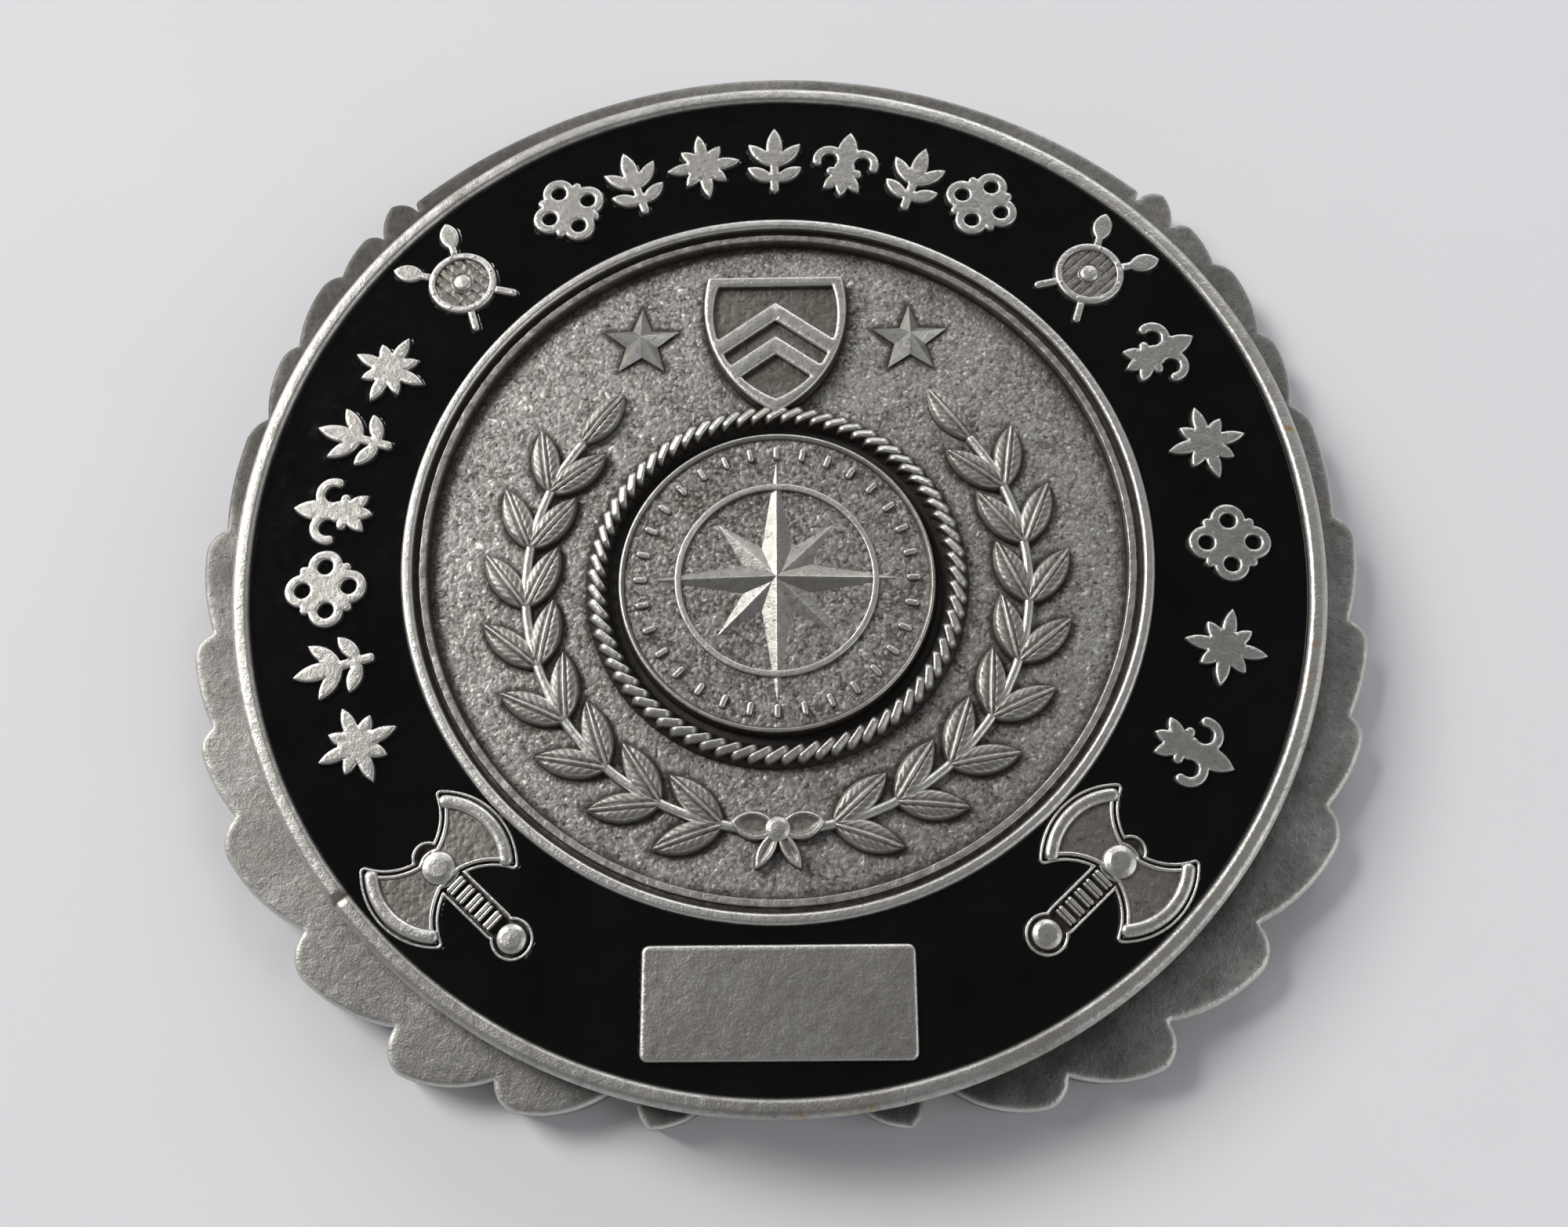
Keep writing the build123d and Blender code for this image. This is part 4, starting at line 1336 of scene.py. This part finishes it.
def planks(turn):
    """Height over a face of planks that lie at an angle."""

    def height(x, y, deep):
        across = x * np.cos(np.radians(turn)) + y * np.sin(np.radians(turn))
        seam = np.abs((across / PLANK_W + 0.5) % 1.0 - 0.5) * PLANK_W
        return PLANK_Z - 0.13 * hump(seam, 0.05) + 0.02 * value_noise(x * 2.0, y * 2.0, 0.3, 62)

    return height


def add_targe(icons, angle):
    """A round shield over crossed spears; gives their outline and box."""
    place = clock(BAND_R, angle)
    spears = []
    for lean in (-SPEAR_LEAN, SPEAR_LEAN):
        point = lens(0, POINT_AT, POINT_L, POINT_W)
        spears += [bar(0, 0, SPEAR_L, SPEAR_W, lean), placed(point, 0, 0, lean)]
    box = around(*place, 3.6)
    outside = clock_place(without(union(*spears), disc(TARGE_R - 0.04)), angle)
    relief(icons, outside, box, BAND_FOOT_Z, FIGURE_Z - 0.06, 0.09, inner=0.1, **BAND_WALL)
    face = clock_place(disc(FACE_R), angle)
    relief(
        icons, face, around(*place, 1.6), BAND_FOOT_Z, planks(-angle), 0.02,
        step=0.06, draft=0.0, inner=0.055, top_wear=0.5, rings=(1.0,), wall_wear=(0.1,),
    )
    icons.add_turned(TARGE_BORDER, 120, place)
    icons.add_turned(TARGE_KNOB, 72, place)
    for index in range(STUDS):
        x, y = clock(STUD_R, 360 / STUDS * (index + 0.5) + angle)
        icons.add_turned(STUD, 14, (place[0] + x, place[1] + y), 4)
    return clock_place(union(*spears, disc(TARGE_R)), angle), box


# ---- double-bitted axes ----
AXE_ANGLE, AXE_TURN = 135.2, 135.2 - 47.5
AXE_REACH, AXE_TIP, AXE_SOCKET, AXE_EDGE = 3.2, 2.3, 0.55, 0.6
AXE_RISE = AXE_REACH - AXE_TIP
EDGE_R = (AXE_TIP**2 + AXE_RISE**2) / (2 * AXE_RISE)
EDGE_X = AXE_REACH - EDGE_R
GRIP_TOP, GRIP_L, GRIP_W, POMMEL_R, POMMEL_Y = 1.2, 4.1, 0.95, 0.72, -4.53
AXE_MARGIN, AXE_LINE = 0.22, 0.13
WRAPS, WRAP_START, WRAP_STEP = 5, -1.13, 0.56
BOSS_R, BOSS_GAP_R, RIBS_W, RIBS_H = 0.9, 0.7, 4.3, 5.0
CUT_SWING = 38  # half the angle over which the raised cutting edge runs
LOW_WALL = (0.3, 0.08)
POMMEL = ((0.0, 5.0, 0, 0.8), (0.44, 4.98, 0.3, 0.9), (0.64, 4.86, 0.12, 1.0), (0.7, 4.45, 0.05, 0.1))
HUB = ((0.0, 5.0, 0, 0.8), (0.42, 4.99, 0.2, 0.85), (0.7, 4.88, 0.1, 1.0), (0.82, 4.6, 0.05, 0.15))


def blade_outline():
    edge = three_point_arc((AXE_TIP, AXE_TIP), (AXE_REACH, 0), (AXE_TIP, -AXE_TIP), 0.06)
    upper = three_point_arc((AXE_SOCKET, 0.75), (1.35, 1.15), (AXE_TIP, AXE_TIP), 0.06)
    lower = [(x, -y) for x, y in upper[1:]][::-1]
    right = upper + edge + [(AXE_TIP, -AXE_TIP)] + lower + [(AXE_SOCKET, -0.75)]
    left = [(-x, y) for x, y in right[::-1]]
    return polygon(np.array(right + left))


def blade_height(x, y, deep):
    coarse, _ = grains(x + 80, y, 0.22, 91)
    return rounded(deep, ENAMEL_Z + 0.02, 0.05) + 0.04 * (coarse - 0.6)


def cutting_height(x, y, deep):
    return rounded(deep, FIGURE_Z, 0.17) + 0.02 * share_of(deep, 0, 0.6)


def axe_layers(axe, blades):
    """Raised layers of an axe from the bottom up: shape, foot, top, edge and relief settings."""
    line = without(axe, grown(axe, -AXE_LINE))
    plate = union(grown(blades, -0.02), disc(BOSS_R))
    arc = EDGE_R - AXE_EDGE / 2
    cutting = []
    for way in (-1, 1):
        cutting.append(hook(way * EDGE_X, 0, arc, 90 - way * 90 - CUT_SWING, 2 * CUT_SWING, AXE_EDGE))
    ribs = without(grown(blades, -0.02), grown(blades, -0.2))
    ribs = without(within(ribs, block(0, 0, RIBS_W, RIBS_H)), disc(BOSS_GAP_R))
    foot, low = TROUGH_Z + 0.2, ENAMEL_Z - 0.2
    bed = {"step": 0.1, "draft": 0.0, "inner": 0.3, "top_wear": 0.04, "rings": (1.0,), "wall_wear": (0.05,)}
    sharp = {"draft": 0.15, "inner": 0.12, "rings": (0.12, 0.4, 1.0)}
    return (
        (axe, TROUGH_Z + 0.1, low, 0.02, bed),
        (line, foot, ENAMEL_Z + 0.08, 0.055, {"step": 0.06, "draft": 0.03, "inner": 0.2}),
        (plate, foot, blade_height, 0.05, {"step": 0.06, "draft": 0.12, "inner": 0.08, "top_wear": 0.45}),
        (union(*cutting), low, cutting_height, 0.17, sharp),
        (ribs, low, ENAMEL_Z + 0.13, 0.08, {"inner": 0.2, "rings": (0.3, 1.0)}),
    )


def add_axe(icons, way):
    """One axe with its wrapped grip; gives its outline and box."""
    angle, turn = way * AXE_ANGLE, way * AXE_TURN
    x, y = clock(BAND_R, angle)
    blades = blade_outline()
    grip = bar(0, (GRIP_TOP - GRIP_L) / 2, GRIP_L + GRIP_TOP, GRIP_W)
    axe = grown(union(blades, grip, disc(POMMEL_R, 0, POMMEL_Y)), AXE_MARGIN)
    box = around(x, y, 5.8)

    def here(shape):
        return clock_place(shape, angle, turn)

    def down_the_grip(at):
        """The place at `at` on the grip's axis."""
        lean = np.radians(turn - angle)
        return x - np.sin(lean) * at, y + np.cos(lean) * at

    for shape, foot, top, edge, settings in axe_layers(axe, blades):
        relief(icons, here(shape), box, foot, top, edge, **{"wall_wear": LOW_WALL, **settings})
    for index in range(WRAPS):
        at = WRAP_START - WRAP_STEP * index
        near = around(*down_the_grip(at), 1)
        for offset, width in ((-0.13, 0.13), (0.08, 0.22)):
            wrap = here(bar(0, at + offset, GRIP_W * (0.86 + 0.6 * width), width, 90))
            edge = width * 0.45
            settings = {"step": 0.045, "inner": 0.1, "wall_wear": LOW_WALL}
            relief(icons, wrap, near, ENAMEL_Z - 0.25, FIGURE_Z - 0.04, edge, **settings)
    icons.add_turned(POMMEL, 72, down_the_grip(POMMEL_Y), 5)
    icons.add_turned(HUB, 72, (x, y), 5)
    return here(axe), box


def band_icons():
    """Two round shields and two axes; gives their outlines and boxes."""
    icons = Bundle()
    shapes = [add_targe(icons, way * TARGE_ANGLE) for way in (-1, 1)]
    shapes += [add_axe(icons, way) for way in (-1, 1)]
    icons.build("band_icons", antique, "antique_silver")
    return shapes


# ---- enamel ----
POOL_STEPS = 1100
POOL_RADII = (17.45, *np.linspace(17.53, 24.53, 74), 24.6)


def enamel_pool(standing):
    """The enamel, which climbs a little wherever it meets the metal."""

    def skin(r, z, wear, theta):
        x, y = r * np.sin(theta), r * np.cos(theta)
        apart = nearest(np.minimum(r - RING_R, TROUGH_R - r), x, y, standing, 0.6)
        climb = 0.02 * np.exp(-np.clip(apart, 0, 9) / 0.2)
        ripple = 0.012 * value_noise(x, y, 1.6, 71) + 0.005 * value_noise(x, y, 0.6, 72)
        z = z + climb + ripple * share_of(apart, 0, 0.4)
        return r, z - 0.5 * share_of(-apart, 0.03, 0.05), wear

    profile = np.array([(radius, ENAMEL_Z - 0.03, 0.5) for radius in POOL_RADII])
    pool = lathe(profile, POOL_STEPS, shape=skin)
    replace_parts(make_piece("enamel_pool", *pool, enamel, "black_enamel"), "ring_enamel")


enamel_pool(band_figures() + band_icons())


# ---- stage and light ----
def add_floor():
    bpy.ops.mesh.primitive_plane_add(size=1.6, location=(0, 0, -0.00002))
    floor = bpy.context.object
    floor.name = "floor"
    floor.data.materials.append(pale_floor())


def soft_light(name, place, size, power, colour, spread=180):
    """Soft lamp that looks at the coin."""
    data = bpy.data.lights.new(name, "AREA")
    data.shape = "RECTANGLE"
    data.size, data.size_y = size
    data.energy = power
    data.spread = np.radians(spread)
    data.color = colour
    lamp = bpy.data.objects.new(name, data)
    bpy.context.collection.objects.link(lamp)
    lamp.location = place
    lamp.rotation_euler = (-Vector(place)).to_track_quat("-Z", "Y").to_euler()


def add_sky():
    """Grey surroundings, darker towards the top, so that flat metal facing up stays dark."""
    world = bpy.data.worlds.new("world")
    bpy.context.scene.world = world
    world.use_nodes = True
    tree = world.node_tree
    split = node(tree, "ShaderNodeSeparateXYZ")
    tree.links.new(node(tree, "ShaderNodeTexCoord").outputs["Generated"], split.inputs[0])
    shades = [(0.0, (0.55, 0.56, 0.58)), (0.45, (0.42, 0.43, 0.45)), (0.8, (0.12, 0.12, 0.13))]
    background = tree.nodes["Background"]
    tree.links.new(ramp(tree, split.outputs["Z"], shades), background.inputs["Color"])
    background.inputs["Strength"].default_value = 1.0


add_floor()
soft_light("key", (-1.6, 1.04, 1.56), (1.04, 1.04), 9.6, (1.0, 0.99, 0.975), 70)
soft_light("back", (0.48, 2.24, 1.2), (1.6, 1.0), 19.2, (0.96, 0.98, 1.0))
soft_light("fill", (2.2, -0.6, 1.6), (1.6, 1.6), 14.4, (0.98, 0.99, 1.0))
add_sky()
bpy.context.scene.view_settings.view_transform = "Standard"
